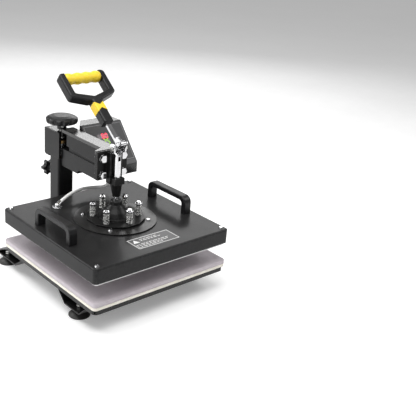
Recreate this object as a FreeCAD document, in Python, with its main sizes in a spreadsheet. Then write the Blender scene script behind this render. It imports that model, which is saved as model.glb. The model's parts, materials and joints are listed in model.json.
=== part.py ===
import FreeCAD, Part
import math
import os
import re

import Sketcher
from FreeCAD import Placement, Rotation, Vector

# A swing-away heat press. Millimetres, +Z up, floor at z = 0. The front is -Y. The swing post stands at
# the back, and the operator pulls the lever forward and down. Every place below is given from the centre
# of the press bed; bed_y then moves the whole machine so that the origin is under the middle of it.

DOC = FreeCAD.newDocument("HeatPress")
SHEET = DOC.addObject("Spreadsheet::Sheet", "Sizes")

SIZES = {
    "bed_y": -56.75,
    # base: tray, pads, cross members and feet
    "floor_gap": 20.0,
    "member_height": 28.0,
    "member_wall": 3.0,
    "member_length": 380.0,
    "front_member_y": -101.0,
    "front_member_top": 116.0,
    "front_member_foot": 58.0,
    "rear_member_y": 199.0,
    "rear_member_top": 182.0,
    "rear_member_foot": 100.0,
    "rear_middle_length": 200.0,
    "rear_end_foot": 58.0,
    "rear_end_top": 5.0,
    "foot_radius": 25.0,
    "front_foot_x": 168.0,
    "rear_foot_x": 173.0,
    "rear_foot_y": 215.0,
    "foot_stud_radius": 4.0,
    "tray_size": 384.0,
    "tray_height": 12.0,
    "tray_wall": 2.5,
    "tray_lip": 15.0,
    "tray_corner": 12.0,
    "pad_size": 390.0,
    "pad_corner": 10.0,
    "foam_height": 7.5,
    "silicone_height": 11.0,
    # swing post and its foot plate
    "post_y": 240.5,
    "post_radius": 16.0,
    "post_top": 286.0,
    "foot_plate_width": 170.0,
    "foot_plate_depth": 92.0,
    "foot_plate_height": 10.0,
    "foot_bolt_x": 65.0,
    "foot_bolt_y": 26.0,
    "foot_bolt_radius": 5.0,
    "thrust_radius": 15.0,
    "thrust_height": 8.0,
    # column tube round the post
    "column_width": 46.0,
    "column_wall": 3.0,
    "column_corner": 7.0,
    "column_low": 61.0,
    "column_high": 250.0,
    "lock_boss_length": 12.0,
    "head_top": 318.0,
    "head_bottom": 246.0,
    "bearing_height": 40.0,
    "running_gap": 0.05,
    # welded arm
    "arm_top": 330.0,
    "arm_top_thickness": 8.0,
    "cheek_thickness": 5.0,
    "cheek_rear": 287.0,
    "arm_half_width": 18.0,
    "arm_rear": 190.0,
    "arm_top_rear": 215.0,
    "arm_low_rear": 292.0,
    "arm_low_front": 285.0,
    "end_plate_rear": 32.0,
    "end_plate_thickness": 6.0,
    "end_plate_half_width": 43.0,
    "end_plate_low": 259.0,
    "end_plate_high": 329.0,
    "end_bolt_x": 29.0,
    "end_bolt_low": 271.0,
    "end_bolt_high": 312.0,
    "end_bolt_radius": 5.0,
    "lower_box_half_width": 16.0,
    "lower_box_low": 231.0,
    "lower_box_step": 10.0,
    "lower_box_step_y": 146.0,
    # head and its guide
    "head_half_width": 17.5,
    "head_wall": 4.0,
    "head_low": 250.0,
    "head_high": 327.0,
    "guide_block_high": 266.0,
    "guide_block_front": -12.0,
    "guide_low": 219.5,
    "guide_top_radius": 13.5,
    "guide_low_radius": 9.8,
    # toggle
    "pivot_height": 338.0,
    "crank_radius": 21.2,
    "link_length": 36.0,
    "lever_pin_radius": 3.2,
    "link_pin_radius": 3.0,
    "pivot_block_thickness": 4.5,
    # plunger, hub and spring bolts
    "plunger_radius": 8.0,
    "plunger_low": 186.0,
    "hub_radius": 72.0,
    "hub_plate_height": 5.0,
    "hub_dome_radius": 44.0,
    "hub_neck_radius": 13.0,
    "hub_top": 209.0,
    "spring_circle": 55.0,
    "spring_radius": 8.0,
    "spring_wire": 2.2,
    "spring_height": 26.0,
    "spring_head_radius": 8.6,
    "spring_bolt_radius": 4.0,
    # upper platen
    "cover_size": 390.0,
    "cover_top": 160.0,
    "cover_height": 35.5,
    "cover_wall": 4.0,
    "cover_corner": 10.0,
    "platen_size": 380.0,
    "platen_height": 14.0,
    "platen_corner": 8.0,
    "platen_low": 118.5,
    "element_radius": 4.0,
    "disc_radius": 100.0,
    "disc_height": 3.0,
    "disc_screw_x": 56.5,
    "corner_screw_x": 181.0,
    "screw_radius": 3.0,
    "screw_head_radius": 6.0,
    "screw_head_height": 3.6,
    "handle_x": 168.5,
    "handle_length": 146.0,
    "handle_width": 22.0,
    "handle_height": 45.0,
    "handle_leg": 14.0,
    "handle_grip": 12.0,
    # lever and D handle; s runs along the lever from the pivot
    "lever_tilt": 52.5,
    "lever_width": 12.0,
    "lever_thickness": 6.0,
    "knuckle_rise": 21.0,
    "bar_rise": 10.7,
    "handle_low": 65.0,
    "stem_half": 13.5,
    "handle_thickness": 24.0,
    "dee_half_width": 64.0,
    "dee_low": 129.0,
    "dee_side_low": 146.0,
    "dee_high": 216.0,
    "dee_bar": 17.5,
    "grip_offset": 12.5,
    "grip_core": 9.0,
    "grip_radius": 13.5,
    "grip_half_length": 49.0,
    # control box on the right of the arm
    "box_left": 24.0,
    "box_right": 147.0,
    "box_front": 109.0,
    "box_rear": 232.0,
    "box_low": 219.0,
    "box_high": 338.5,
    "panel_low": 244.5,
    "panel_top_y": 190.0,
    "box_wall": 1.6,
    "box_cut_x": 50.0,
    "box_cut_y": 196.0,
    "panel_thickness": 2.0,
    # pressure screw and its knob
    "pressure_screw_radius": 8.0,
    "knob_low": 322.5,
    "knob_neck_radius": 12.0,
    "knob_neck_height": 15.0,
    "knob_radius": 41.0,
    "knob_height": 21.0,
    # lock knob behind the column
    "lock_height": 199.0,
    "lock_knob_radius": 21.0,
    "lock_stud_radius": 5.0,
    # heater cable
    "cable_radius": 4.0,
}


def fill_sheet():
    for row, (alias, number) in enumerate(SIZES.items(), start=1):
        SHEET.set(f"A{row}", alias)
        SHEET.set(f"B{row}", str(number))
        SHEET.setAlias(f"B{row}", alias)
    DOC.recompute()


def ex(text):
    """Turns a formula of sheet names into a FreeCAD expression."""
    def with_sheet(match):
        word = match.group(0)
        return "Sizes." + word if word in SIZES else word
    return re.sub(r"[a-z]+(?:_[a-z]+)*", with_sheet, str(text))


def value(text):
    return float(SHEET.evalExpression(ex(text)))


# ---------------------------------------------------------------- document helpers

PLACES = {}
NODES = []
X_AXIS = Rotation(Vector(0, 1, 0), 90)
Y_AXIS = Rotation(Vector(1, 0, 0), -90)
UPRIGHT = Rotation()


def move(obj, x="0", y="0", z="0", rotation=None):
    if rotation is not None:
        obj.Placement = Placement(Vector(), rotation)
    PLACES[obj.Name] = (x, y, z)
    for axis, text in zip("xyz", (x, y, z)):
        obj.setExpression("Placement.Base." + axis, ex(text))


def node(obj, label):
    """Names a finished sub-part and shifts it from the bed's centre to the row's origin."""
    x, y, z = PLACES.get(obj.Name, ("0", "0", "0"))
    obj.Label = label
    move(obj, x, f"bed_y + ({y})", z)
    NODES.append(obj)
    return obj


def box(name, low, high):
    obj = DOC.addObject("Part::Box", name)
    for size, a, b in zip(("Length", "Width", "Height"), low, high):
        obj.setExpression(size, ex(f"({b}) - ({a})"))
    move(obj, *low)
    return obj


def cylinder(name, radius, length, foot, rotation=UPRIGHT):
    obj = DOC.addObject("Part::Cylinder", name)
    obj.setExpression("Radius", ex(radius))
    obj.setExpression("Height", ex(length))
    move(obj, *foot, rotation=rotation)
    return obj


def cone(name, low_radius, high_radius, length, foot):
    obj = DOC.addObject("Part::Cone", name)
    obj.setExpression("Radius1", ex(low_radius))
    obj.setExpression("Radius2", ex(high_radius))
    obj.setExpression("Height", ex(length))
    move(obj, *foot)
    return obj


def prism(name, sides, radius, length, foot, rotation=UPRIGHT):
    obj = DOC.addObject("Part::Prism", name)
    obj.Polygon = sides
    obj.setExpression("Circumradius", ex(radius))
    obj.setExpression("Height", ex(length))
    move(obj, *foot, rotation=rotation)
    return obj


def fuse(name, *parts):
    obj = DOC.addObject("Part::MultiFuse", name)
    obj.Shapes = list(parts)
    obj.Refine = True
    return obj


def cut(name, base, *tools):
    obj = DOC.addObject("Part::Cut", name)
    obj.Base = base
    obj.Tool = tools[0] if len(tools) == 1 else fuse(name + "_tools", *tools)
    return obj


def group(name, *parts):
    """Identical or paired loose pieces that share one node."""
    obj = DOC.addObject("Part::Compound", name)
    obj.Links = list(parts)
    return obj


def copies(name, master, spots):
    """One compound with the master's solid moved to each spot."""
    DOC.recompute()
    shapes = []
    for spot in spots:
        shape = master.Shape.copy()
        shape.Placement = Placement(spot, Rotation()).multiply(shape.Placement)
        shapes.append(shape)
    obj = DOC.addObject("Part::Feature", name)
    obj.Shape = Part.makeCompound(shapes)
    return obj


def feature(name, shape):
    """A sub-part made straight from a shape, which keeps the shape's own place."""
    obj = DOC.addObject("Part::Feature", name)
    obj.Shape = shape
    PLACES[obj.Name] = tuple(f"{number:.6f}" for number in shape.Placement.Base)
    return obj


def origin_plane(body, role):
    return next(item for item in body.Origin.OriginFeatures if item.Role == role)


def new_sketch(body, role, name, offset="0"):
    sketch = body.newObject("Sketcher::SketchObject", name)
    sketch.AttachmentSupport = (origin_plane(body, role), [""])
    sketch.MapMode = "FlatFace"
    if offset != "0":
        sketch.setExpression("AttachmentOffset.Base.z", ex(offset))
    return sketch


def pin_point(sketch, geometry, end, spot):
    """Ties one point of a sketch to the formulas of its two coordinates."""
    for kind, axis, text in (("DistanceX", -2, spot[0]), ("DistanceY", -1, spot[1])):
        number = value(text)
        if abs(number) < 1e-9:
            sketch.addConstraint(Sketcher.Constraint("PointOnObject", geometry, end, axis))
            continue
        index = sketch.addConstraint(Sketcher.Constraint(kind, -1, 1, geometry, end, number))
        sketch.setExpression(f"Constraints[{index}]", ex(text))


def outline(body, role, name, points, offset="0"):
    """A closed sketch of straight lines through points given as formulas."""
    sketch = new_sketch(body, role, name, offset)
    spots = [Vector(value(a), value(b), 0) for a, b in points]
    count = len(spots)
    for i in range(count):
        sketch.addGeometry(Part.LineSegment(spots[i], spots[(i + 1) % count]), False)
    for i in range(count):
        sketch.addConstraint(Sketcher.Constraint("Coincident", i, 2, (i + 1) % count, 1))
    for i, spot in enumerate(points):
        pin_point(sketch, i, 1, spot)
    return sketch


def ring_sketch(body, role, name, centres, radius, offset="0"):
    """Circles of one radius at centres given as formulas."""
    sketch = new_sketch(body, role, name, offset)
    for i, centre in enumerate(centres):
        spot = Vector(value(centre[0]), value(centre[1]), 0)
        sketch.addGeometry(Part.Circle(spot, Vector(0, 0, 1), value(radius)), False)
        pin_point(sketch, i, 3, centre)
        index = sketch.addConstraint(Sketcher.Constraint("Radius", i, value(radius)))
        sketch.setExpression(f"Constraints[{index}]", ex(radius))
    return sketch


def square(half):
    return [(f"-({half})", f"-({half})"), (half, f"-({half})"), (half, half), (f"-({half})", half)]


def pad(body, sketch, length, symmetric=False):
    step = body.newObject("PartDesign::Pad", sketch.Name + "_pad")
    step.Profile = sketch
    step.setExpression("Length", ex(length))
    step.SideType = "Symmetric" if symmetric else "One side"
    DOC.recompute()
    return step


def pocket(body, sketch, length, symmetric=False, upward=True):
    """Cuts along the sketch's normal and makes sure that material really went."""
    before = body.Shape.Volume
    step = body.newObject("PartDesign::Pocket", sketch.Name + "_pocket")
    step.Profile = sketch
    step.setExpression("Length", ex(length))
    step.SideType = "Symmetric" if symmetric else "One side"
    step.Reversed = upward and not symmetric
    DOC.recompute()
    if body.Shape.Volume > before - 1.0:
        raise RuntimeError(f"{step.Name} cut nothing")
    return step


def revolve(body, sketch, axis="V_Axis"):
    step = body.newObject("PartDesign::Revolution", sketch.Name + "_turned")
    step.Profile = sketch
    step.ReferenceAxis = (sketch, [axis])
    step.Angle = 360.0
    DOC.recompute()
    return step


def edge_names(shape, test):
    return [f"Edge{i}" for i, edge in enumerate(shape.Edges, start=1) if test(edge)]


def round_edges(body, step, radius, test):
    names = edge_names(step.Shape, test)
    if not names:
        raise RuntimeError(f"{step.Name} has no edge to round")
    fillet = body.newObject("PartDesign::Fillet", step.Name + "_round")
    fillet.Base = (step, names)
    fillet.setExpression("Radius", ex(radius))
    DOC.recompute()
    return fillet


def upright(edge):
    box_size = edge.BoundBox
    return box_size.ZLength > 0.5 and box_size.XLength < 1e-6 and box_size.YLength < 1e-6


def new_body(name, x="0", y="0", z="0", rotation=None):
    body = DOC.addObject("PartDesign::Body", name)
    move(body, x, y, z, rotation)
    return body


def rounded_plate(name, size, height, corner, low):
    """A square plate with round corners, centred on the bed."""
    body = new_body(name, z=low)
    slab = pad(body, outline(body, "XY_Plane", name + "_outline", square(f"{size} / 2")), height)
    round_edges(body, slab, corner, upright)
    return body


def turned(name, points, x="0", y="0", z="0", rotation=None):
    """A solid of revolution about its own Z axis, from (radius, height) points."""
    body = new_body(name, x, y, z, rotation)
    revolve(body, outline(body, "XZ_Plane", name + "_profile", points))
    return body


def spots_of(pairs, z):
    return [Vector(value(x), value(y), value(z)) for x, y in pairs]


def four(x, y):
    return [(f"{a} * ({x})", f"{b} * ({y})") for a in (-1, 1) for b in (-1, 1)]


# ---------------------------------------------------------------- base

TRAY_LOW = "floor_gap + member_height"
BED_LOW = f"{TRAY_LOW} + tray_height"


def tray():
    outer = rounded_plate("tray", "tray_size", "tray_height", "tray_corner", TRAY_LOW)
    half = "tray_size / 2"
    inner = outline(outer, "XY_Plane", "tray_hollow", square(f"{half} - tray_wall"), "tray_wall")
    pocket(outer, inner, "tray_height - 2 * tray_wall")
    mouth = outline(outer, "XY_Plane", "tray_mouth", square(f"{half} - tray_lip"))
    pocket(outer, mouth, "tray_wall")
    return node(outer, "base_tray")


def pads():
    foam = rounded_plate("foam", "pad_size", "foam_height", "pad_corner", BED_LOW)
    node(foam, "foam_pad")
    silicone = rounded_plate("silicone", "pad_size", "silicone_height", "pad_corner",
                             f"{BED_LOW} + foam_height")
    node(silicone, "silicone_pad")


def trough_points(top, foot):
    """An open channel section whose walls lean out from the foot to the top."""
    wall = "member_wall"
    lean = f"(({top}) - ({foot})) / 2 / member_height"
    inner_foot = f"({foot}) / 2 - {wall} + {wall} * {lean}"
    return [
        (f"-({foot}) / 2", "0"), (f"({foot}) / 2", "0"), (f"({top}) / 2", "member_height"),
        (f"({top}) / 2 - {wall}", "member_height"), (inner_foot, wall),
        (f"-({inner_foot})", wall), (f"{wall} - ({top}) / 2", "member_height"),
        (f"-({top}) / 2", "member_height"),
    ]


def front_member():
    body = new_body("front_member", y="front_member_y", z="floor_gap")
    section = outline(body, "YZ_Plane", "front_member_section",
                      trough_points("front_member_top", "front_member_foot"))
    pad(body, section, "member_length", symmetric=True)
    holes = ring_sketch(body, "XY_Plane", "front_foot_holes",
                        [("-front_foot_x", "0"), ("front_foot_x", "0")], "foot_stud_radius")
    pocket(body, holes, "member_wall")
    return node(body, "front_cross_member")


def rear_member():
    """A closed hollow section under the post's foot plate, cut back to a slope at both ends."""
    body = new_body("rear_member", y="rear_member_y", z="floor_gap")
    top, foot, wall = "rear_member_top", "rear_member_foot", "member_wall"
    outer = [(f"-{foot} / 2", "0"), (f"{foot} / 2", "0"),
             (f"{top} / 2", "member_height"), (f"-{top} / 2", "member_height")]
    pad(body, outline(body, "YZ_Plane", "rear_member_section", outer), "rear_middle_length", symmetric=True)
    ends = [(f"-{foot} / 2", "0"), ("rear_end_foot", "0"),
            ("-rear_end_top", "member_height"), (f"-{top} / 2", "member_height")]
    pad(body, outline(body, "YZ_Plane", "rear_member_end_section", ends), "member_length", symmetric=True)
    inset, under = f"{wall} * 1.6", f"member_height - {wall}"
    slope = "(rear_end_foot + rear_end_top) / member_height"
    end_hollow = [(f"{inset} - {foot} / 2", wall), (f"rear_end_foot - {slope} * {wall} - {inset}", wall),
                  (f"rear_end_foot - {slope} * ({under}) - {inset}", under), (f"3 * {inset} - {top} / 2", under)]
    pocket(body, outline(body, "YZ_Plane", "rear_member_end_hollow", end_hollow), "member_length + 2",
           symmetric=True)
    hollow = [(f"{inset} - {foot} / 2", wall), (f"{foot} / 2 - {inset}", wall),
              (f"{top} / 2 - 3 * {inset}", under), (f"3 * {inset} - {top} / 2", under)]
    pocket(body, outline(body, "YZ_Plane", "rear_member_hollow", hollow), f"rear_middle_length - 2 * {wall}",
           symmetric=True)
    shift = "rear_foot_y - rear_member_y"
    feet = ring_sketch(body, "XY_Plane", "rear_foot_holes",
                       [("-rear_foot_x", shift), ("rear_foot_x", shift)], "foot_stud_radius")
    pocket(body, feet, wall)
    post_shift = "post_y - rear_member_y"
    bolts = [(x, f"{post_shift} + {y}") for x, y in four("foot_bolt_x", "foot_bolt_y")]
    plate = ring_sketch(body, "XY_Plane", "foot_plate_holes", bolts, "foot_bolt_radius",
                        f"member_height - {wall} - 1")
    pocket(body, plate, f"{wall} + 2")
    return node(body, "rear_cross_member")


def foot_spots(z):
    front = [(x, "front_member_y") for x in ("-front_foot_x", "front_foot_x")]
    rear = [(x, "rear_foot_y") for x in ("-rear_foot_x", "rear_foot_x")]
    return spots_of(front + rear, z)


def feet():
    """Suction feet: a thin flared cup under a ribbed neck."""
    profile = [
        ("0", "4"), ("10", "3.6"), ("19", "1.6"), ("23.5", "0"), ("foot_radius", "0"),
        ("foot_radius", "1.6"), ("21", "5.2"), ("15", "9"), ("12.5", "10"), ("12.5", "13"),
        ("14.5", "14"), ("14.5", "floor_gap"), ("0", "floor_gap"),
    ]
    master = turned("foot_master", profile)
    node(copies("feet", master, foot_spots("0")), "suction_feet")
    washer_high = "member_wall + 1.6"
    stud = fuse("foot_stud",
                cylinder("foot_thread", "foot_stud_radius - 0.05", "member_wall + 11", ("0", "0", "0")),
                cylinder("foot_washer", "8", "1.6", ("0", "0", "member_wall")),
                prism("foot_nut", 6, "7.5", "6.5", ("0", "0", washer_high)))
    node(copies("foot_studs", stud, foot_spots("floor_gap")), "foot_nuts")


def post_foot():
    half_width, half_depth = "foot_plate_width / 2", "foot_plate_depth / 2"
    body = new_body("foot_plate", y="post_y", z=TRAY_LOW)
    corners = [(f"-{half_width}", f"-{half_depth}"), (half_width, f"-{half_depth}"),
               (half_width, half_depth), (f"-{half_width}", half_depth)]
    slab = pad(body, outline(body, "XY_Plane", "foot_plate_outline", corners), "foot_plate_height")
    round_edges(body, slab, "8", upright)
    bore = ring_sketch(body, "XY_Plane", "post_bore", [("0", "0")], "post_radius")
    pocket(body, bore, "foot_plate_height")
    holes = ring_sketch(body, "XY_Plane", "foot_plate_bolt_holes",
                        four("foot_bolt_x", "foot_bolt_y"), "foot_bolt_radius + 0.5")
    pocket(body, holes, "foot_plate_height")
    node(body, "post_foot_plate")
    post = turned("post", [("0", "0"), ("post_radius", "0"), ("post_radius", f"post_top - ({TRAY_LOW}) - 2"),
                           ("post_radius - 2", f"post_top - ({TRAY_LOW})"), ("0", f"post_top - ({TRAY_LOW})")],
                  y="post_y", z=TRAY_LOW)
    node(post, "swing_post")
    bolt = fuse("foot_bolt",
                cylinder("foot_bolt_shank", "foot_bolt_radius - 0.05", "foot_plate_height + 5",
                         ("0", "0", "-foot_plate_height - 5")),
                cylinder("foot_bolt_washer", "10", "2", ("0", "0", "0")),
                prism("foot_bolt_head", 6, "9.2", "6.4", ("0", "0", "2")))
    spots = [(x, f"post_y + {y}") for x, y in four("foot_bolt_x", "foot_bolt_y")]
    node(copies("foot_bolts", bolt, spots_of(spots, f"{TRAY_LOW} + foot_plate_height")), "foot_plate_bolts")


def thrust_pad():
    profile = [("0", "0"), ("thrust_radius", "0"), ("thrust_radius", "thrust_height - 1"),
               ("thrust_radius - 1", "thrust_height"), ("6", "thrust_height"), ("0", "thrust_height - 3")]
    node(turned("thrust", profile, y="post_y", z="post_top"), "thrust_pad")


# ---------------------------------------------------------------- swinging column and arm

SCREW_TIP = "post_top + thrust_height - 3"


def column():
    body = new_body("column", y="post_y", z="column_low")
    length = "column_high - column_low"
    slab = pad(body, outline(body, "XY_Plane", "column_outline", square("column_width / 2")), length)
    round_edges(body, slab, "column_corner", upright)
    inner = outline(body, "XY_Plane", "column_inside", square("column_width / 2 - column_wall"))
    pocket(body, inner, length)
    boss_y = "post_y + column_width / 2"
    boss = cylinder("lock_boss", "10", "lock_boss_length", ("0", boss_y, "lock_height"), Y_AXIS)
    bore = cylinder("lock_bore", "lock_stud_radius + running_gap", "column_wall + lock_boss_length + 2",
                    ("0", f"{boss_y} - column_wall - 1", "lock_height"), Y_AXIS)
    return node(cut("column_with_boss", fuse("column_and_boss", body, boss), bore), "column_tube")


def bearings():
    """Square bearing blocks that fill the tube and run on the post."""
    blocks = []
    half = "column_width / 2 - column_wall"
    for name, low in (("low", "column_low + 4"), ("high", "column_high - bearing_height")):
        block = box(f"bearing_{name}_block", (f"-({half})", f"post_y - ({half})", low),
                    (half, f"post_y + {half}", f"{low} + bearing_height"))
        bore = cylinder(f"bearing_{name}_bore", "post_radius + running_gap", "bearing_height",
                        ("0", "post_y", low))
        blocks.append(cut(f"bearing_{name}", block, bore))
    return node(group("bearings", *blocks), "post_bearings")


def head_plates():
    """Two plates on top of the column, closed behind and open in front."""
    front, joint, rear = "post_y - column_width / 2", "post_y + column_width / 2", "cheek_rear"
    points = [(front, "column_high"), (joint, "column_high"), (joint, "head_bottom"),
              (f"{rear} - 5", "head_bottom"), (rear, "head_bottom + 5"), (rear, "head_top"), (front, "head_top")]
    cheeks = []
    for name, x in (("left", "-column_width / 2"), ("right", "column_width / 2 - cheek_thickness")):
        body = new_body(f"cheek_{name}", x=x)
        pad(body, outline(body, "YZ_Plane", f"cheek_{name}_outline", points), "cheek_thickness")
        cheeks.append(body)
    inside = "column_width / 2 - cheek_thickness"
    back = box("cheek_back", (f"-({inside})", "cheek_rear - cheek_thickness", "head_bottom + 5"),
               (inside, rear, "head_top"))
    return node(group("cheeks", *cheeks, back), "column_head_plates")


def head_cap():
    """The plate between the head plates, with the threaded boss of the pressure screw."""
    inside = "column_width / 2 - cheek_thickness"
    plate = box("cap_plate", (f"-({inside})", "post_y - 4", "head_top - 8"),
                (inside, "cheek_rear - cheek_thickness", "head_top"))
    boss = cylinder("cap_boss", "13", "15", ("0", "post_y", "head_top - 15"))
    bore = cylinder("cap_bore", "pressure_screw_radius + running_gap", "20", ("0", "post_y", "head_top - 17"))
    return node(cut("cap", fuse("cap_and_boss", plate, boss), bore), "column_head_cap")


def top_plate():
    """The arm's flat top, flared to the end plate in front."""
    narrow, flare = "arm_half_width", "end_plate_half_width"
    front = "end_plate_rear - end_plate_thickness"
    right = [(flare, front), (flare, "end_plate_rear"), (narrow, "end_plate_rear + 12"),
             (narrow, "arm_top_rear")]
    left = [(f"-({x})", y) for x, y in reversed(right)]
    body = new_body("top_plate", z="arm_top - arm_top_thickness")
    slab = pad(body, outline(body, "XY_Plane", "top_plate_outline", right + left), "arm_top_thickness")
    round_edges(body, slab, "3", lambda edge: upright(edge) and edge.BoundBox.YMin > value("arm_top_rear") - 1)
    return node(body, "arm_top_plate")


def arm_sides_and_beam():
    """The arm's two side plates, and the box beam under them that is butted against the column."""
    front = "end_plate_rear"
    under = "arm_top - arm_top_thickness"
    points = [(front, under), ("arm_rear", under), ("arm_rear", "arm_low_rear"),
              (f"{front} + 14", "arm_low_front"), (f"{front} + 7", "arm_low_front - 7"),
              (f"{front} + 4", "end_plate_low"), (front, "end_plate_low")]
    plates = []
    for name, x in (("left", "-arm_half_width"), ("right", "arm_half_width - cheek_thickness")):
        body = new_body(f"arm_side_{name}", x=x)
        pad(body, outline(body, "YZ_Plane", f"arm_side_{name}_outline", points), "cheek_thickness")
        plates.append(body)
    node(group("arm_sides", *plates), "arm_side_plates")
    half, low = "lower_box_half_width", "lower_box_low"
    rear = "post_y - column_width / 2"
    beam_top = "arm_low_front - 7"
    points = [(front, f"{low} + lower_box_step + 22"), (f"{front} + 26", f"{low} + lower_box_step"),
              ("lower_box_step_y - 8", f"{low} + lower_box_step"), ("lower_box_step_y", low),
              (rear, low), (rear, beam_top), (front, beam_top)]
    body = new_body("lower_box")
    beam = pad(body, outline(body, "YZ_Plane", "lower_box_outline", points), f"2 * {half}", symmetric=True)
    round_edges(body, beam, "2.5",
                lambda edge: edge.BoundBox.YLength > 20 and edge.BoundBox.ZMax < value(low) + 12)
    web = box("arm_web", ("-arm_half_width + cheek_thickness", front, beam_top),
              ("arm_half_width - cheek_thickness", "arm_rear - 4", f"{beam_top} + 16"))
    node(cut("lower_beam", fuse("lower_box_and_web", body, web), *plates), "arm_lower_beam")


def end_plates():
    """The arm's end plate and, bolted to it, the plate of the head."""
    wide = "end_plate_half_width"
    thickness = "end_plate_thickness"
    holes = [(x, z) for x in ("-end_bolt_x", "end_bolt_x") for z in ("end_bolt_low", "end_bolt_high")]
    body = new_body("end_plate", y="end_plate_rear")
    high = "arm_top - arm_top_thickness"
    corners = [(f"-{wide}", "end_plate_low"), (wide, "end_plate_low"), (wide, high), (f"-{wide}", high)]
    pad(body, outline(body, "XZ_Plane", "end_plate_outline", corners), thickness)
    drill = ring_sketch(body, "XZ_Plane", "end_plate_holes", holes, "end_bolt_radius")
    pocket(body, drill, thickness)
    return node(body, "arm_end_plate")


HEAD_PLATE_REAR = "end_plate_rear - end_plate_thickness"
HEAD_PLATE_FRONT = f"{HEAD_PLATE_REAR} - end_plate_thickness"


def head():
    """The cast head: a back plate, a channel for the toggle and a bored guide block at the bottom."""
    wide, half, wall = "end_plate_half_width", "head_half_width", "head_wall"
    plate = box("head_plate", (f"-{wide}", HEAD_PLATE_FRONT, "end_plate_low"),
                (wide, HEAD_PLATE_REAR, "end_plate_high"))
    block = box("head_block", (f"-{half}", "4", "head_low"), (half, HEAD_PLATE_FRONT, "head_high"))
    hollow = box("head_hollow", (f"{wall} - {half}", "3", "guide_block_high"),
                 (f"{half} - {wall}", f"{HEAD_PLATE_FRONT} - 6", "head_high + 1"))
    guide = box("guide_block", ("-head_half_width + 3.5", "guide_block_front", "head_low"),
                ("head_half_width - 3.5", "5", "guide_block_high"))
    bore = cylinder("head_bore", "plunger_radius + running_gap", "guide_block_high - head_low + 2",
                    ("0", "0", "head_low - 1"))
    bolt_holes = [cylinder(f"head_hole_{i}", "end_bolt_radius + 0.5", "end_plate_thickness + 2",
                           (x, f"{HEAD_PLATE_FRONT} - 1", z), Y_AXIS)
                  for i, (x, z) in enumerate((x, z) for x in ("-end_bolt_x", "end_bolt_x")
                                             for z in ("end_bolt_low", "end_bolt_high"))]
    casting = fuse("head_casting", plate, cut("head_channel", block, hollow), guide)
    return node(cut("head", casting, bore, *bolt_holes), "press_head")


def head_bolts():
    master = fuse("head_bolt",
                  cylinder("head_bolt_washer", "9.5", "1.8", ("0", "-1.8", "0"), Y_AXIS),
                  prism("head_bolt_head", 6, "9.4", "6.4", ("0", "-8.2", "0"), Y_AXIS),
                  cylinder("head_bolt_shank", "end_bolt_radius - 0.05", "2 * end_plate_thickness + 12",
                           ("0", "0", "0"), Y_AXIS),
                  prism("head_bolt_nut", 6, "9.4", "8", ("0", "2 * end_plate_thickness", "0"), Y_AXIS))
    spots = [Vector(value(x), value(HEAD_PLATE_FRONT), value(z))
             for x in ("-end_bolt_x", "end_bolt_x") for z in ("end_bolt_low", "end_bolt_high")]
    node(copies("head_bolts", master, spots), "head_bolts")


def guide_sleeve():
    """The tapered collar under the head that the plunger comes out of, with a rib behind it."""
    taper = cone("guide_taper", "guide_low_radius", "guide_top_radius", "head_low - guide_low",
                 ("0", "0", "guide_low"))
    rib = new_body("guide_rib")
    points = [("0", "guide_low + 6"), ("guide_low_radius + 1", "guide_low + 6"),
              (HEAD_PLATE_FRONT, "head_low"), ("0", "head_low")]
    pad(rib, outline(rib, "YZ_Plane", "guide_rib_outline", points), "12", symmetric=True)
    bore = cylinder("guide_bore", "plunger_radius + running_gap", "head_low - guide_low + 2",
                    ("0", "0", "guide_low - 1"))
    node(cut("guide", fuse("guide_and_rib", taper, rib), bore), "guide_sleeve")


def pivot_blocks():
    """Two plated blocks on top of the head that hold the lever's pin."""
    thick = "pivot_block_thickness"
    inner = f"head_half_width - {thick} + 0.5"
    blocks = []
    points = [("-9", "pivot_height - 8"), ("-9", "pivot_height + 5"), ("-4", "pivot_height + 11"),
              ("6", "pivot_height + 11"), ("14", "head_high"), ("0", "head_high")]
    for name, x in (("left", f"-({inner}) - {thick}"), ("right", inner)):
        body = new_body(f"pivot_block_{name}", x=x)
        pad(body, outline(body, "YZ_Plane", f"pivot_block_{name}_outline", points), thick)
        drill = ring_sketch(body, "YZ_Plane", f"pivot_block_{name}_hole", [("0", "pivot_height")],
                            "lever_pin_radius")
        pocket(body, drill, thick)
        blocks.append(body)
    node(group("pivot_blocks", *blocks), "pivot_blocks")
    reach = "head_half_width + 0.5"
    pin = fuse("lever_pin",
               cylinder("lever_pin_shank", "lever_pin_radius", f"2 * ({reach})",
                        (f"-({reach})", "0", "pivot_height"), X_AXIS),
               cylinder("lever_pin_head", "6.5", "2.6", (f"-({reach}) - 2.6", "0", "pivot_height"), X_AXIS),
               prism("lever_pin_nut", 6, "7", "5", (reach, "0", "pivot_height"), X_AXIS))
    node(pin, "lever_pivot_pin")


# ---------------------------------------------------------------- lever

CRANK_Y = "-crank_radius * cos(45)"
CRANK_Z = "crank_radius * sin(45)"


def hull_outline(circles, steps=10):
    """The tight outline round several circles given as (y, z, radius) numbers."""
    cloud = []
    for y, z, radius in circles:
        for i in range(4 * steps):
            angle = math.pi * i / (2 * steps)
            cloud.append((y + radius * math.cos(angle), z + radius * math.sin(angle)))
    cloud.sort()

    def half(points):
        chain = []
        for point in points:
            while len(chain) > 1:
                (ax, ay), (bx, by) = chain[-2], chain[-1]
                if (bx - ax) * (point[1] - ay) - (by - ay) * (point[0] - ax) > 1e-9:
                    break
                chain.pop()
            chain.append(point)
        return chain[:-1]

    return half(cloud) + half(reversed(cloud))


def plate_solid(points, x_low, thickness):
    """A flat plate across X, cut to an outline of (y, z) numbers."""
    wire = Part.makePolygon([Vector(x_low, y, z) for y, z in points + points[:1]])
    return Part.Face(wire).extrude(Vector(thickness, 0, 0))


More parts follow.
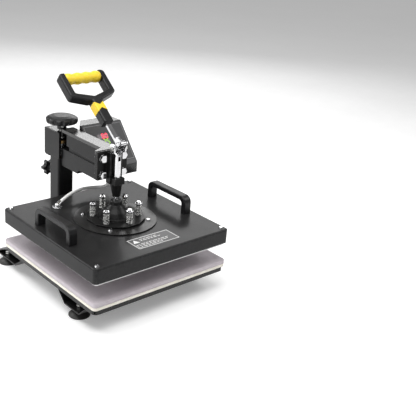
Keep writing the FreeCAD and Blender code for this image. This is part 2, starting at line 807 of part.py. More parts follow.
def lever_axis():
    """The lever's own frame: X across, Y along the shaft, from the pivot pin."""
    tilt = value("lever_tilt")
    return Placement(Vector(0, 0, value("pivot_height")), Rotation(Vector(1, 0, 0), 90 - tilt))


def lever_bar():
    """A flat bar with a knuckle and the crank plate that drives the toggle."""
    plate_half = 3.5
    y, z = value(CRANK_Y), value(CRANK_Z)
    knuckle = (1.5, value("knuckle_rise"), 5.5)
    crank = plate_solid(hull_outline([(0, 0, 6.5), (y, z, 6.0), knuckle]), -plate_half, 2 * plate_half)
    eye = Part.makeCylinder(6.5, 10.0, Vector(-5.0, 0, 0), Vector(1, 0, 0))
    roller = Part.makeCylinder(6.5, 14.0, Vector(-7.0, y, z), Vector(1, 0, 0))
    crank = crank.fuse([eye, roller]).removeSplitter()
    crank.translate(Vector(0, 0, value("pivot_height")))
    width, thickness = value("lever_width"), value("lever_thickness")
    length = value("handle_low") + 40.0
    shaft = Part.makeBox(width, length - 8.0, thickness,
                         Vector(-width / 2, 8.0, value("bar_rise") - thickness / 2))
    shaft.Placement = lever_axis().multiply(shaft.Placement)
    bore = Part.makeCylinder(value("lever_pin_radius") + value("running_gap"), 40.0,
                             Vector(-20, 0, value("pivot_height")), Vector(1, 0, 0))
    return node(feature("lever_bar_shape", crank.fuse(shaft).cut(bore).removeSplitter()), "lever_bar")


def flat_frame(points, thickness, corner):
    """A plate of (x, y) corners in the lever's frame, with its upright corners rounded."""
    wire = Part.makePolygon([Vector(x, y, 0) for x, y in points + points[:1]])
    solid = Part.Face(wire).extrude(Vector(0, 0, thickness))
    return solid.makeFillet(corner, [edge for edge in solid.Edges if edge.BoundBox.ZLength > 0.9 * thickness])


def dee_handle():
    """The moulded handle: a stem over the bar and a D-shaped frame for the grip."""
    thickness, bar = value("handle_thickness"), value("dee_bar")
    half, low, high = value("dee_half_width"), value("dee_low"), value("dee_high")
    side_low, stem_half = value("dee_side_low"), value("stem_half")
    outer = [(-half, side_low), (-stem_half - 6, low), (stem_half + 6, low), (half, side_low), (half, high),
             (-half, high)]
    inside = half - bar
    inner = [(-inside, side_low + 9), (0.0, low + 12), (inside, side_low + 9), (inside, high - 25),
             (-inside, high - 25)]
    frame = flat_frame(outer, thickness, 9.0).cut(flat_frame(inner, thickness, 5.0))
    frame = frame.makeFillet(4.0, [edge for edge in frame.Edges if edge.BoundBox.ZLength < 0.01])
    stem = Part.makeBox(2 * stem_half, low + 4 - value("handle_low"), thickness,
                        Vector(-stem_half, value("handle_low"), 0))
    stem = stem.makeFillet(5.0, [edge for edge in stem.Edges if edge.BoundBox.YLength > 20])
    width, bar_thickness = value("lever_width"), value("lever_thickness")
    slot = Part.makeBox(width, 41.0, bar_thickness,
                        Vector(-width / 2, value("handle_low") - 1.0, (thickness - bar_thickness) / 2))
    grip = value("grip_half_length")
    axis_y = high - value("grip_offset")
    gap = Part.makeBox(2 * grip, 40.0, thickness + 2, Vector(-grip, axis_y - 18.0, -1.0))
    core = Part.makeCylinder(value("grip_core"), 2 * grip + 4, Vector(-grip - 2, axis_y, thickness / 2),
                             Vector(1, 0, 0))
    body = frame.fuse(stem).cut([slot, gap]).fuse(core).removeSplitter()
    seat = Placement(Vector(0, 0, value("bar_rise") - thickness / 2), Rotation())
    body.Placement = lever_axis().multiply(seat)
    return node(feature("dee_handle_shape", body), "d_handle")


def hand_grip():
    """The sleeve with finger swells on the D handle's cross bar."""
    half, radius, inner = value("grip_half_length"), value("grip_radius"), value("grip_core")
    swells = 4
    station = 2 * half / (2 * swells)
    points = [Vector(-half, radius - 1.5, 0)]
    for i in range(1, 2 * swells):
        points.append(Vector(-half + station * i, radius + (0.9 if i % 2 else -0.9), 0))
    points.append(Vector(half, radius - 1.5, 0))
    curve = Part.BSplineCurve()
    curve.interpolate(points)
    edges = [curve.toShape(),
             Part.makeLine(points[-1], Vector(half, inner, 0)),
             Part.makeLine(Vector(half, inner, 0), Vector(-half, inner, 0)),
             Part.makeLine(Vector(-half, inner, 0), points[0])]
    sleeve = Part.Face(Part.Wire(edges)).revolve(Vector(), Vector(1, 0, 0), 360)
    place = Placement(Vector(0, value("dee_high - grip_offset"), value("bar_rise")), Rotation())
    sleeve.Placement = lever_axis().multiply(place)
    return node(feature("hand_grip_shape", sleeve), "hand_grip")


# ---------------------------------------------------------------- toggle link and plunger

LINK_LOW = "pivot_height + crank_radius * sin(45) - sqrt(link_length ^ 2 - (crank_radius * cos(45)) ^ 2)"


def toggle_link():
    """An eight-sided yoke: open above round the crank, narrow below on the plunger's pin."""
    length = value("link_length")
    arm_inner, arm_outer = 8.0, 12.4
    thickness = 6.0
    crown, upper_eye = 4.4, 4.2
    outer = [(-4.6, -7), (4.6, -7), (6.2, 6), (arm_outer, 13), (arm_outer, length - 4), (9.6, length + crown),
             (-9.6, length + crown), (-arm_outer, length - 4), (-arm_outer, 13), (-6.2, 6)]
    inner = [(-3.4, 8), (3.4, 8), (arm_inner, 13), (arm_inner, length + 8), (-arm_inner, length + 8),
             (-arm_inner, 13)]

    def slab(points, depth):
        wire = Part.makePolygon([Vector(x, -depth / 2, z) for x, z in points + points[:1]])
        return Part.Face(wire).extrude(Vector(0, depth, 0))

    yoke = slab(outer, thickness).cut(slab(inner, thickness + 2))
    tongue_side = 20.0
    for side in (-1, 1):
        corner = Vector(3.4 if side > 0 else -3.4 - tongue_side, -tongue_side / 2, -12)
        yoke = yoke.cut(Part.makeBox(tongue_side, tongue_side, 19.5, corner))
    eye = Part.makeCylinder(6.2, 6.8, Vector(-3.4, 0, 0), Vector(1, 0, 0))
    yoke = yoke.fuse(eye)
    for x in (-arm_outer - 0.6, arm_inner):
        yoke = yoke.fuse(Part.makeCylinder(upper_eye, arm_outer - arm_inner + 0.6, Vector(x, 0, length),
                                           Vector(1, 0, 0)))
    hole = Part.makeCylinder(value("link_pin_radius") + value("running_gap"), 30, Vector(-15, 0, 0),
                             Vector(1, 0, 0))
    yoke = yoke.cut(hole).removeSplitter()
    lean = math.degrees(math.asin(-value(CRANK_Y) / length))
    yoke.Placement = Placement(Vector(0, 0, value(LINK_LOW)), Rotation(Vector(1, 0, 0), lean))
    return node(feature("toggle_link_shape", yoke), "toggle_link")


def plunger():
    """The plated ram: round, with a fork for the toggle at its top."""
    top = f"{LINK_LOW} + 5"
    ram = cylinder("ram", "plunger_radius", f"{top} - plunger_low", ("0", "0", "plunger_low"))
    slot = box("ram_slot", ("-3.6", "-10", f"{LINK_LOW} - 12"), ("3.6", "10", f"{top} + 1"))
    hole = cylinder("ram_hole", "link_pin_radius", "20", ("-10", "0", LINK_LOW), X_AXIS)
    node(cut("plunger", ram, slot, hole), "plunger")
    pin = cylinder("link_pin_shank", "link_pin_radius", "16", ("-8", "0", LINK_LOW), X_AXIS)
    node(pin, "link_pin")


# ---------------------------------------------------------------- hub, spring bolts and disc

def on_circle(radius, count, start):
    pairs = []
    for i in range(count):
        angle = start + 360.0 * i / count
        pairs.append((f"{radius} * cos({angle})", f"{radius} * sin({angle})"))
    return pairs


SPRING_PLACES = on_circle("spring_circle", 6, 30.0)
HUB_LOW = "cover_top + disc_height"


def hub():
    """A cast hub: a twelve-sided flange with a stepped dome that grips the plunger."""
    top = f"hub_top - ({HUB_LOW})"
    dome = turned("hub_dome", [
        ("0", "0"), ("hub_dome_radius", "0"), ("hub_dome_radius", "hub_plate_height + 3"),
        ("hub_dome_radius - 5", "hub_plate_height + 4"), ("hub_dome_radius - 7", "hub_plate_height + 7"),
        ("hub_neck_radius + 18", "hub_plate_height + 15"), ("hub_neck_radius + 9", "hub_plate_height + 24"),
        ("hub_neck_radius + 3", "hub_plate_height + 31"), ("hub_neck_radius + 2", f"{top} - 2"),
        ("hub_neck_radius", top), ("0", top),
    ], z=HUB_LOW)
    flange = prism("hub_flange", 12, "hub_radius", "hub_plate_height", ("0", "0", HUB_LOW),
                   Rotation(Vector(0, 0, 1), 15))
    bore = cylinder("hub_bore", "plunger_radius", f"hub_top - plunger_low + 1", ("0", "0", "plunger_low"))
    clearance = "spring_bolt_radius + 0.3"
    holes = [cylinder(f"hub_hole_{i}", clearance, "hub_plate_height + 2", (x, y, f"{HUB_LOW} - 1"))
             for i, (x, y) in enumerate(SPRING_PLACES)]
    node(cut("hub", fuse("hub_casting", dome, flange), bore, *holes), "hub")


def spring_bolts():
    low = "-hub_plate_height - disc_height - cover_wall"
    master = fuse("spring_bolt",
                  cylinder("spring_bolt_shank", "spring_bolt_radius", f"31 - ({low})", ("0", "0", low)),
                  cylinder("spring_bolt_collar", "6", "4", ("0", "0", "spring_height")),
                  cylinder("spring_bolt_washer", "spring_head_radius", "1.4", ("0", "0", "spring_height + 4")),
                  cone("spring_bolt_head", "spring_head_radius - 0.6", "4.6", "4.4",
                       ("0", "0", "spring_height + 5.4")))
    spots = spots_of(SPRING_PLACES, f"{HUB_LOW} + hub_plate_height")
    node(copies("spring_bolts", master, spots), "spring_bolts")
    outer = cylinder("spring_outer", "spring_radius", "spring_height", ("0", "0", "0"))
    inner = cylinder("spring_inner", "spring_radius - spring_wire", "spring_height + 2", ("0", "0", "-1"))
    node(copies("springs", cut("spring", outer, inner), spots), "platen_springs")


def support_disc():
    disc = cylinder("disc_blank", "disc_radius", "disc_height", ("0", "0", "cover_top"))
    places = [(x, y, "spring_bolt_radius") for x, y in SPRING_PLACES]
    places += [(x, y, "screw_radius") for x, y in four("disc_screw_x", "disc_screw_x")]
    holes = [cylinder(f"disc_hole_{i}", radius, "disc_height + 2", (x, y, "cover_top - 1"))
             for i, (x, y, radius) in enumerate(places)]
    node(cut("disc", disc, *holes), "support_disc")


def cover_screws():
    master = fuse("screw",
                  cylinder("screw_shank", "screw_radius", "screw_head_height + 6.5", ("0", "0", "-6.5")),
                  cone("screw_head", "screw_head_radius", "screw_head_radius - 2", "screw_head_height",
                       ("0", "0", "0")))
    slot = box("screw_slot", ("-7", "-0.7", "screw_head_height - 1.4"), ("7", "0.7", "screw_head_height + 1"))
    master = cut("slotted_screw", master, slot)
    spots = spots_of(four("disc_screw_x", "disc_screw_x"), HUB_LOW)
    spots += spots_of(four("corner_screw_x", "corner_screw_x"), "cover_top")
    node(copies("cover_screws", master, spots), "cover_screws")


# ---------------------------------------------------------------- upper platen

GLAND = ("-82", "130")


def cover():
    """The pan over the heated plate, with softly rounded corners and edges."""
    body = new_body("cover", z="cover_top - cover_height")
    blank = pad(body, outline(body, "XY_Plane", "cover_outline", square("cover_size / 2")), "cover_height")
    rounded = round_edges(body, blank, "cover_corner", upright)
    high = value("cover_height")
    round_edges(body, rounded, "4", lambda edge: edge.BoundBox.ZMin > high - 0.01)
    inside = outline(body, "XY_Plane", "cover_inside", square("cover_size / 2 - cover_wall"))
    pocket(body, inside, "cover_height - cover_wall")
    through = "cover_height - cover_wall - 1"
    screws = four("disc_screw_x", "disc_screw_x") + four("corner_screw_x", "corner_screw_x")
    pocket(body, ring_sketch(body, "XY_Plane", "cover_screw_holes", screws, "screw_radius", through),
           "cover_wall + 2")
    pocket(body, ring_sketch(body, "XY_Plane", "cover_bolt_holes", SPRING_PLACES, "spring_bolt_radius", through),
           "cover_wall + 2")
    pocket(body, ring_sketch(body, "XY_Plane", "cover_gland_hole", [GLAND], "7", through), "cover_wall + 2")
    node(body, "platen_cover")


def heated_plate():
    plate = rounded_plate("platen", "platen_size", "platen_height", "platen_corner", "platen_low")
    top = round_edges(plate, plate.Tip, "1.5", lambda edge: edge.BoundBox.ZMax < 0.01)
    plate.Tip = top
    node(plate, "heating_platen")
    mat_low = "platen_low + platen_height + 2 * element_radius + 0.5"
    slab = box("mat_slab", ("-platen_size / 2 + 4", "-platen_size / 2 + 4", mat_low),
               ("platen_size / 2 - 4", "platen_size / 2 - 4", "cover_top - cover_wall"))
    places = [(x, y, "spring_bolt_radius + 4") for x, y in SPRING_PLACES]
    places += [(x, y, "screw_radius + 3") for x, y in
               four("disc_screw_x", "disc_screw_x") + four("corner_screw_x", "corner_screw_x")]
    places.append((*GLAND, "12"))
    wells = [cylinder(f"mat_well_{i}", radius, "30", (x, y, mat_low))
             for i, (x, y, radius) in enumerate(places)]
    node(cut("mat", slab, *wells), "insulation_mat")


def heating_element():
    """A tubular heater laid in runs on the back of the heated plate."""
    reach, pitch, runs = 150.0, 60.0, 6
    z = value("platen_low + platen_height + element_radius")
    start_y = -pitch * (runs - 1) / 2
    edges = []
    for i in range(runs):
        y = start_y + pitch * i
        side = 1 if i % 2 == 0 else -1
        edges.append(Part.makeLine(Vector(-side * reach, y, z), Vector(side * reach, y, z)))
        if i < runs - 1:
            middle = Vector(side * (reach + pitch / 2), y + pitch / 2, z)
            edges.append(Part.Arc(Vector(side * reach, y, z), middle, Vector(side * reach, y + pitch, z)).toShape())
    tube = round_pipe(edges, value("element_radius"))
    node(feature("element_shape", tube), "heating_element")


def round_pipe(edges, radius):
    path = Part.Wire(edges)
    first = path.Edges[0]
    start = first.valueAt(first.FirstParameter)
    heading = first.tangentAt(first.FirstParameter)
    ring = Part.Wire(Part.makeCircle(radius, start, heading))
    return path.makePipeShell([ring], True, False, 2)


def lift_handles():
    """Two moulded handles, each a bridge with round shoulders."""
    spots = []
    half, height = "handle_length / 2", "handle_height"
    inner = f"{half} - handle_leg"
    points = [(f"-{half}", "0"), (f"-({inner})", "0"), (f"-({inner})", f"{height} - handle_grip"),
              (inner, f"{height} - handle_grip"), (inner, "0"), (half, "0"), (half, height), (f"-{half}", height)]
    body = new_body("handle")
    bridge = pad(body, outline(body, "YZ_Plane", "handle_outline", points), "handle_width", symmetric=True)
    top = value(height)

    def across(edge, z_low, z_high):
        size = edge.BoundBox
        return size.XLength > 10 and size.ZLength < 1e-6 and z_low < size.ZMin < z_high

    shoulders = round_edges(body, bridge, "18", lambda edge: across(edge, top - 1, top + 1))
    inside = round_edges(body, shoulders, "9",
                         lambda edge: across(edge, top - value("handle_grip") - 1, top - value("handle_grip") + 1))
    round_edges(body, inside, "2.5", lambda edge: abs(edge.BoundBox.XLength) < 1e-6 and edge.BoundBox.ZMax > 1)
    for x in ("-handle_x", "handle_x"):
        spots.append(Vector(value(x), 0, value("cover_top")))
    node(copies("lift_handles", body, spots), "lift_handles")


# ---------------------------------------------------------------- control box

def box_section(inset):
    """The side view of the control box, pulled in by a wall."""
    slope = "(panel_top_y - box_front) / (box_high - panel_low)"
    shift = f"{inset} * sqrt(1 + ({slope}) ^ 2)"
    high = f"box_high - {inset}"
    return [(f"box_front + {inset}", f"box_low + {inset}"), (f"box_rear - {inset}", f"box_low + {inset}"),
            (f"box_rear - {inset}", high), (f"panel_top_y + {shift} - {inset} * ({slope})", high),
            (f"box_front + {inset}", f"panel_low - ({shift} - {inset}) / ({slope})")]


def box_solid(name, inset):
    """The box's outside or its hollow, with the rear left corner cut off to clear the pressure knob."""
    body = new_body(name, x="(box_left + box_right) / 2")
    section = outline(body, "YZ_Plane", name + "_outline", box_section(inset))
    pad(body, section, f"box_right - box_left - 2 * {inset}", symmetric=True)
    lean = "atan((box_rear - box_cut_y) / (box_cut_x - box_left))"
    wedge = DOC.addObject("Part::Box", name + "_corner")
    wedge.Length, wedge.Width, wedge.Height = 90, 50, 140
    turn = Rotation(Vector(0, 0, 1), value(lean))
    foot = (f"box_left + {inset} * sin({lean}) - 20 * cos({lean})",
            f"box_cut_y - {inset} * cos({lean}) - 20 * sin({lean})", "box_low - 5")
    move(wedge, *foot, rotation=turn)
    return cut(name + "_cut", body, wedge)


def control_box():
    """A folded sheet housing whose sloping front is closed by the panel."""
    width = value("box_right - box_left")
    mouth = Part.makeBox(width - 16, panel_length() - 16, 12, Vector(8 - width / 2, 8, -6))
    tools = [box_solid("box_hollow", "box_wall"),
             on_panel("box_mouth", mouth),
             box("inlet_hole", (INLET_X[0], "box_rear - 4", INLET_Z[0]), (INLET_X[1], "box_rear + 4", INLET_Z[1])),
             box("switch_hole", ("box_right - 4", SWITCH_Y[0], SWITCH_Z[0]),
                 ("box_right + 4", SWITCH_Y[1], SWITCH_Z[1])),
             cylinder("gland_hole", "6", "6", (*BOX_GLAND, "box_low - 3"))]
    node(cut("box_cut", box_solid("box_blank", "0"), *tools), "control_box")


INLET_X = ("96", "123")
INLET_Z = ("236", "256")
SWITCH_Y = ("186", "214")
SWITCH_Z = ("236", "250")
BOX_GLAND = ("78", "130")


def panel_length():
    return math.hypot(value("panel_top_y - box_front"), value("box_high - panel_low"))


def panel_frame():
    """The sloping panel's frame: X across from the box's middle, Y up the slope, Z out."""
    rise = math.degrees(math.atan2(value("box_high - panel_low"), value("panel_top_y - box_front")))
    base = Vector(value("(box_left + box_right) / 2"), value("box_front"), value("panel_low"))
    return Placement(base, Rotation(Vector(1, 0, 0), rise))


DISPLAY_X = (-27.0, 5.0)
DISPLAY_LOW = (80.0, 64.5)
DISPLAY_HEIGHT = 12.5
BUTTON_X = (10.0, 24.0, 38.0)
BUTTON_Y = 40.0
BUTTON_RADIUS = 4.0


def on_panel(name, shape):
    shape.Placement = panel_frame().multiply(shape.Placement)
    return feature(name, shape)


def front_panel():
    width, length, thick = value("box_right - box_left"), panel_length(), value("panel_thickness")
    plate = Part.makeBox(width, length, thick, Vector(-width / 2, 0, 0))
    plate = plate.makeFillet(3.0, [e for e in plate.Edges if e.BoundBox.ZLength > 1])
    cuts = [Part.makeBox(DISPLAY_X[1] - DISPLAY_X[0], DISPLAY_HEIGHT, 10, Vector(DISPLAY_X[0], low, -5))
            for low in DISPLAY_LOW]
    cuts += [Part.makeCylinder(BUTTON_RADIUS + 0.3, 10, Vector(x, BUTTON_Y, -5)) for x in BUTTON_X]
    node(on_panel("panel_shape", plate.cut(cuts)), "front_panel")


def displays():
    for label, low in zip(("temperature_display", "timer_display"), DISPLAY_LOW):
        window = Part.makeBox(DISPLAY_X[1] - DISPLAY_X[0], DISPLAY_HEIGHT, 6.0, Vector(DISPLAY_X[0], low, -4.0))
        node(on_panel(label + "_shape", window), label)


def circuit_board():
    """The controller board behind the panel, with key switches under the buttons."""
    board = Part.makeBox(96, 70, 1.6, Vector(-48, 20, -15))
    keys = [Part.makeBox(6, 6, 3.5, Vector(x - 3, BUTTON_Y - 3, -13.4)) for x in BUTTON_X]
    sockets = [Part.makeBox(DISPLAY_X[1] - DISPLAY_X[0] - 4, DISPLAY_HEIGHT - 2, 8.4,
                            Vector(DISPLAY_X[0] + 2, low + 1, -13.4)) for low in DISPLAY_LOW]
    node(on_panel("board_shape", board.fuse(keys + sockets).removeSplitter()), "controller_board")


def buttons():
    for label, x in zip(("down_button", "set_button", "up_button"), BUTTON_X):
        cap = Part.makeCylinder(BUTTON_RADIUS, 11.4, Vector(x, BUTTON_Y, -8.7))
        cap = cap.makeFillet(1.0, [e for e in cap.Edges if e.BoundBox.ZMin > 2.6])
        node(on_panel(label + "_shape", cap), label)


def box_fittings():
    """The power inlet, the rocker switch, the relay, the cable gland and the spacer to the arm."""
    flange = box("inlet_flange", (f"{INLET_X[0]} - 5", "box_rear", f"{INLET_Z[0]} - 3"),
                 (f"{INLET_X[1]} + 5", "box_rear + 3", f"{INLET_Z[1]} + 3"))
    barrel = box("inlet_barrel", (INLET_X[0], "box_rear - 20", INLET_Z[0]), (INLET_X[1], "box_rear + 1", INLET_Z[1]))
    socket = box("inlet_socket", (f"{INLET_X[0]} + 2", "box_rear - 16", f"{INLET_Z[0]} + 2"),
                 (f"{INLET_X[1]} - 2", "box_rear + 4", f"{INLET_Z[1]} - 2"))
    pins = [box(f"inlet_pin_{i}", (f"109.5 + {x} - 1", "box_rear - 17", f"246 + {z} - 2"),
                (f"109.5 + {x} + 1", "box_rear - 3", f"246 + {z} + 2"))
            for i, (x, z) in enumerate(((-7, -1.5), (0, 2), (7, -1.5)))]
    node(fuse("inlet", cut("inlet_shell", fuse("inlet_block", flange, barrel), socket), *pins), "power_inlet")
    bezel = box("bezel_flange", ("box_right", f"{SWITCH_Y[0]} - 2.5", f"{SWITCH_Z[0]} - 2.5"),
                ("box_right + 2", f"{SWITCH_Y[1]} + 2.5", f"{SWITCH_Z[1]} + 2.5"))
    bucket = box("bezel_bucket", ("box_right - 18", SWITCH_Y[0], SWITCH_Z[0]), ("box_right + 1", SWITCH_Y[1], SWITCH_Z[1]))
    well = box("bezel_well", ("box_right - 15", f"{SWITCH_Y[0]} + 1.5", f"{SWITCH_Z[0]} + 1.5"),
               ("box_right + 3", f"{SWITCH_Y[1]} - 1.5", f"{SWITCH_Z[1]} - 1.5"))
    node(cut("bezel", fuse("bezel_block", bezel, bucket), well), "switch_bezel")
    relay = box("relay_block", ("50", "176", "box_low + box_wall"), ("92", "222", "box_low + box_wall + 23"))
    node(relay, "solid_state_relay")
    gland = fuse("gland_outside",
                 prism("gland_nut", 6, "9", "4", (*BOX_GLAND, "box_low - 4")),
                 cylinder("gland_throat", "5.9", "11", (*BOX_GLAND, "box_low - 6")),
                 prism("gland_backnut", 6, "9", "4", (*BOX_GLAND, "box_low + box_wall")),
                 cylinder("gland_cap", "6.5", "3", (*BOX_GLAND, "box_low - 6")))
    node(gland, "box_cable_gland")
    spacer = box("spacer", ("arm_half_width", "118", "arm_low_rear + 2"), ("box_left", "180", "arm_top - arm_top_thickness - 4"))
    node(spacer, "box_spacer")


def rocker():
    """The switch's rocker: two faces that meet over its pin."""
    middle_y = f"({SWITCH_Y[0]} + {SWITCH_Y[1]}) / 2"
    middle_z = f"({SWITCH_Z[0]} + {SWITCH_Z[1]}) / 2"
    body = new_body("rocker", x="box_right - 4", y=middle_y, z=middle_z)
    points = [("0", "-7"), ("5", "-10.5"), ("8.4", "-11.2"), ("4.6", "0"), ("6.4", "10.8"), ("4", "11.2"), ("0", "7")]
    pad(body, outline(body, "XY_Plane", "rocker_outline", points), "10.4", symmetric=True)
    node(body, "power_rocker")


# ---------------------------------------------------------------- knobs

def pressure_knob():
    neck = cylinder("knob_neck", "knob_neck_radius", "knob_neck_height", ("0", "post_y", "knob_low"))
    disc = turned("knob_disc", [
        ("0", "0"), ("knob_radius - 8", "0"), ("knob_radius - 2", "2"), ("knob_radius", "6"),
        ("knob_radius", "12"), ("knob_radius - 3", "15"), ("knob_radius - 9", "18"),
        ("knob_radius - 20", "knob_height - 0.6"), ("0", "knob_height"),
    ], y="post_y", z="knob_low + knob_neck_height")
    grooves = []
    for i in range(12):
        angle = f"{30 * i}"
        foot = (f"(knob_radius + 3.5) * cos({angle})", f"post_y + (knob_radius + 3.5) * sin({angle})",
                "knob_low + knob_neck_height - 1")
        grooves.append(cylinder(f"knob_groove_{i}", "7", "knob_height - 2", foot))
    bore = cylinder("knob_bore", "pressure_screw_radius", "knob_neck_height + 8", ("0", "post_y", "knob_low - 1"))
    node(cut("knob", fuse("knob_blank", neck, disc), bore, *grooves), "pressure_knob")
    screw = turned("screw_body", [
        ("0", "0"), ("4", "2"), ("pressure_screw_radius", "6"),
        ("pressure_screw_radius", f"knob_low + knob_neck_height + 7 - ({SCREW_TIP})"),
        ("0", f"knob_low + knob_neck_height + 7 - ({SCREW_TIP})"),
    ], y="post_y", z=SCREW_TIP)
    node(screw, "pressure_screw")


def lock_knob():
    boss_rear = "post_y + column_width / 2 + lock_boss_length"
    hub_part = cylinder("lock_hub", "9", "20", ("0", f"{boss_rear} + 2", "lock_height"), Y_AXIS)
    disc = cylinder("lock_disc", "lock_knob_radius", "13", ("0", f"{boss_rear} + 20", "lock_height"), Y_AXIS)
    notches = []
    for i in range(6):
        angle = f"{60 * i + 30}"
        notches.append(cylinder(f"lock_notch_{i}", "8", "14",
                                (f"(lock_knob_radius + 2) * cos({angle})", f"{boss_rear} + 19.5",
                                 f"lock_height + (lock_knob_radius + 2) * sin({angle})"), Y_AXIS))
    bore = cylinder("lock_knob_bore", "lock_stud_radius", "27", ("0", f"{boss_rear} + 1", "lock_height"), Y_AXIS)
    node(cut("lock", fuse("lock_blank", hub_part, disc), bore, *notches), "lock_knob")
    stud = cylinder("lock_stud_body", "lock_stud_radius", f"{boss_rear} + 28 - (post_y + post_radius + 0.3)",
                    ("0", "post_y + post_radius + 0.3", "lock_height"), Y_AXIS)
    node(stud, "lock_stud")


# ---------------------------------------------------------------- heater cable

# The cable's route, from the gland on the cover to the gland under the control box.
CABLE_ROUTE = [
    (-70.0, 134.5, 171.0), (-48.0, 143.0, 177.5), (-20.0, 152.5, 181.0), (14.0, 159.5, 181.5),
    (48.4, 152.3, 180.5), (63.4, 141.0, 182.3), (70.2, 135.9, 186.9), (75.3, 132.0, 194.2),
    (78.0, 130.0, 203.3), (78.0, 130.0, 213.0),
]


def rounded_route(points, share=0.45):
    """Straight runs joined by arcs as large as the shorter run beside each corner allows."""
    corners = [Vector(*point) for point in points]
    edges = []
    radii = []
    last = corners[0]
    for before, corner, after in zip(corners, corners[1:], corners[2:]):
        back = (before - corner).normalize()
        ahead = (after - corner).normalize()
        turn = math.pi - back.getAngle(ahead)
        reach = share * min((before - corner).Length, (after - corner).Length)
        radii.append(reach / math.tan(turn / 2))
        start, end = corner + back * reach, corner + ahead * reach
        inward = (back + ahead).normalize()
        sag = radii[-1] * (1 / math.cos(turn / 2) - 1)
        edges.append(Part.LineSegment(last, start).toShape())
        edges.append(Part.Arc(start, corner + inward * sag, end).toShape())
        last = end
    edges.append(Part.LineSegment(last, corners[-1]).toShape())
    return edges, radii


def heater_cable():
    edges, radii = rounded_route(CABLE_ROUTE)
    radius = value("cable_radius")
    tube = round_pipe(edges, radius)
    length = sum(edge.Length for edge in edges)
    expected = math.pi * radius ** 2 * length
    print("cable length", round(length, 1), "radii", [round(r, 1) for r in radii],
          "volume ratio", round(tube.Volume / expected, 4))
    node(feature("cable_shape", tube), "heater_cable")


def platen_gland():
    """A plated ring in the cover with a bent nose that holds the cable's end."""
    start, ahead = Vector(*CABLE_ROUTE[0]), Vector(*CABLE_ROUTE[1])
    heading = (ahead - start).normalize()
    x, y = (value(text) for text in GLAND)
    top = value("cover_top")
    ring = Part.makeCylinder(12.0, 3.0, Vector(x, y, top))
    ring = ring.makeFillet(1.2, [e for e in ring.Edges if e.BoundBox.ZMin > top + 2])
    throat = Part.makeCylinder(6.9, 4.5, Vector(x, y, top - 4.5))
    ball = Part.makeSphere(8.0, Vector(x, y, top + 4.0))
    floor = Part.makeBox(40, 40, 20, Vector(x - 20, y - 20, top - 20))
    nose_foot = Vector(x, y, top + 5.0)
    nose = Part.makeCone(7.0, 5.4, (start - nose_foot).Length, nose_foot, start - nose_foot)
    body = ring.fuse([ball.cut(floor), throat, nose.cut(floor)])
    reach = Part.makeCylinder(20, 30, start, heading)
    node(feature("platen_gland_shape", body.cut(reach).removeSplitter()), "platen_cable_gland")


# ---------------------------------------------------------------- build and write

def build():
    fill_sheet()
    for make in (tray, pads, front_member, rear_member, feet, post_foot, thrust_pad, column, bearings,
                 head_plates, head_cap, top_plate, arm_sides_and_beam, end_plates, head, head_bolts, guide_sleeve,
                 pivot_blocks, lever_bar, dee_handle, hand_grip, toggle_link, plunger, hub, spring_bolts,
                 support_disc, cover_screws, cover, heated_plate, heating_element, lift_handles, control_box,
                 front_panel, displays, circuit_board, buttons, box_fittings, rocker, pressure_knob, lock_knob,
                 heater_cable, platen_gland):
        make()
    DOC.recompute()


def check_and_write():
    for obj in DOC.Objects:
        if "Invalid" in obj.State or "Error" in obj.State:
            raise RuntimeError(f"{obj.Name} failed: {obj.State}")
    os.makedirs("parts", exist_ok=True)
    for obj in NODES:
        shape = obj.Shape
        if shape.isNull() or not shape.isValid() or not shape.Solids:
            raise RuntimeError(f"{obj.Label} has no valid solid")
        shape.exportStep(f"parts/{obj.Label}.step")
    print(len(NODES), "nodes written")


build()
check_and_write()
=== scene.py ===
import json
import math

import bmesh
import bpy
from mathutils import Matrix, Vector


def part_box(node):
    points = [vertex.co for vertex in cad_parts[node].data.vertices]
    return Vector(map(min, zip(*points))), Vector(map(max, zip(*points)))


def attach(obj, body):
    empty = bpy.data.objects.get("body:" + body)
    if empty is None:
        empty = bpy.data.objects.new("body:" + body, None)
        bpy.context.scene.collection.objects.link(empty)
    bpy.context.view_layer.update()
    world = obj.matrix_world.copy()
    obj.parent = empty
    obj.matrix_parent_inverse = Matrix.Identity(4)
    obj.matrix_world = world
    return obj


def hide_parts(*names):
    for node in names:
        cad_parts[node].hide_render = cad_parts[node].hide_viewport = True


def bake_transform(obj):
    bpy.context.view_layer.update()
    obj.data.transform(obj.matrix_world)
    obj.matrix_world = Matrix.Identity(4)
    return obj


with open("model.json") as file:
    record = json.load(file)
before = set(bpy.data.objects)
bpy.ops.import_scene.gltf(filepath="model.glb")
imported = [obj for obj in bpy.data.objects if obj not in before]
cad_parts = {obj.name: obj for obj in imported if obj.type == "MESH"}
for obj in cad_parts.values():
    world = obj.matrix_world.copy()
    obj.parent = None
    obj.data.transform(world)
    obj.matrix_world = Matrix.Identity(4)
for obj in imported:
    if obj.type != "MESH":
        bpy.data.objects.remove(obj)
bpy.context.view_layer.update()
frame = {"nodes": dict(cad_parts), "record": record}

MM = 0.001
BED_Y = -0.05675        # the middle of the platens, measured from the middle of the whole press
COLLECTION = bpy.context.scene.collection


# ---------------------------------------------------------------- camera, lights and floor

CAMERA_TURN = [math.radians(angle) for angle in (41.98, 22.33, 4.05)]
CAMERA_OFFSET_MM = Vector((-135.8, 35.5, 1773.3)) * 0.975
CAMERA_TARGET = Vector((0.0, BED_Y, 0.160))


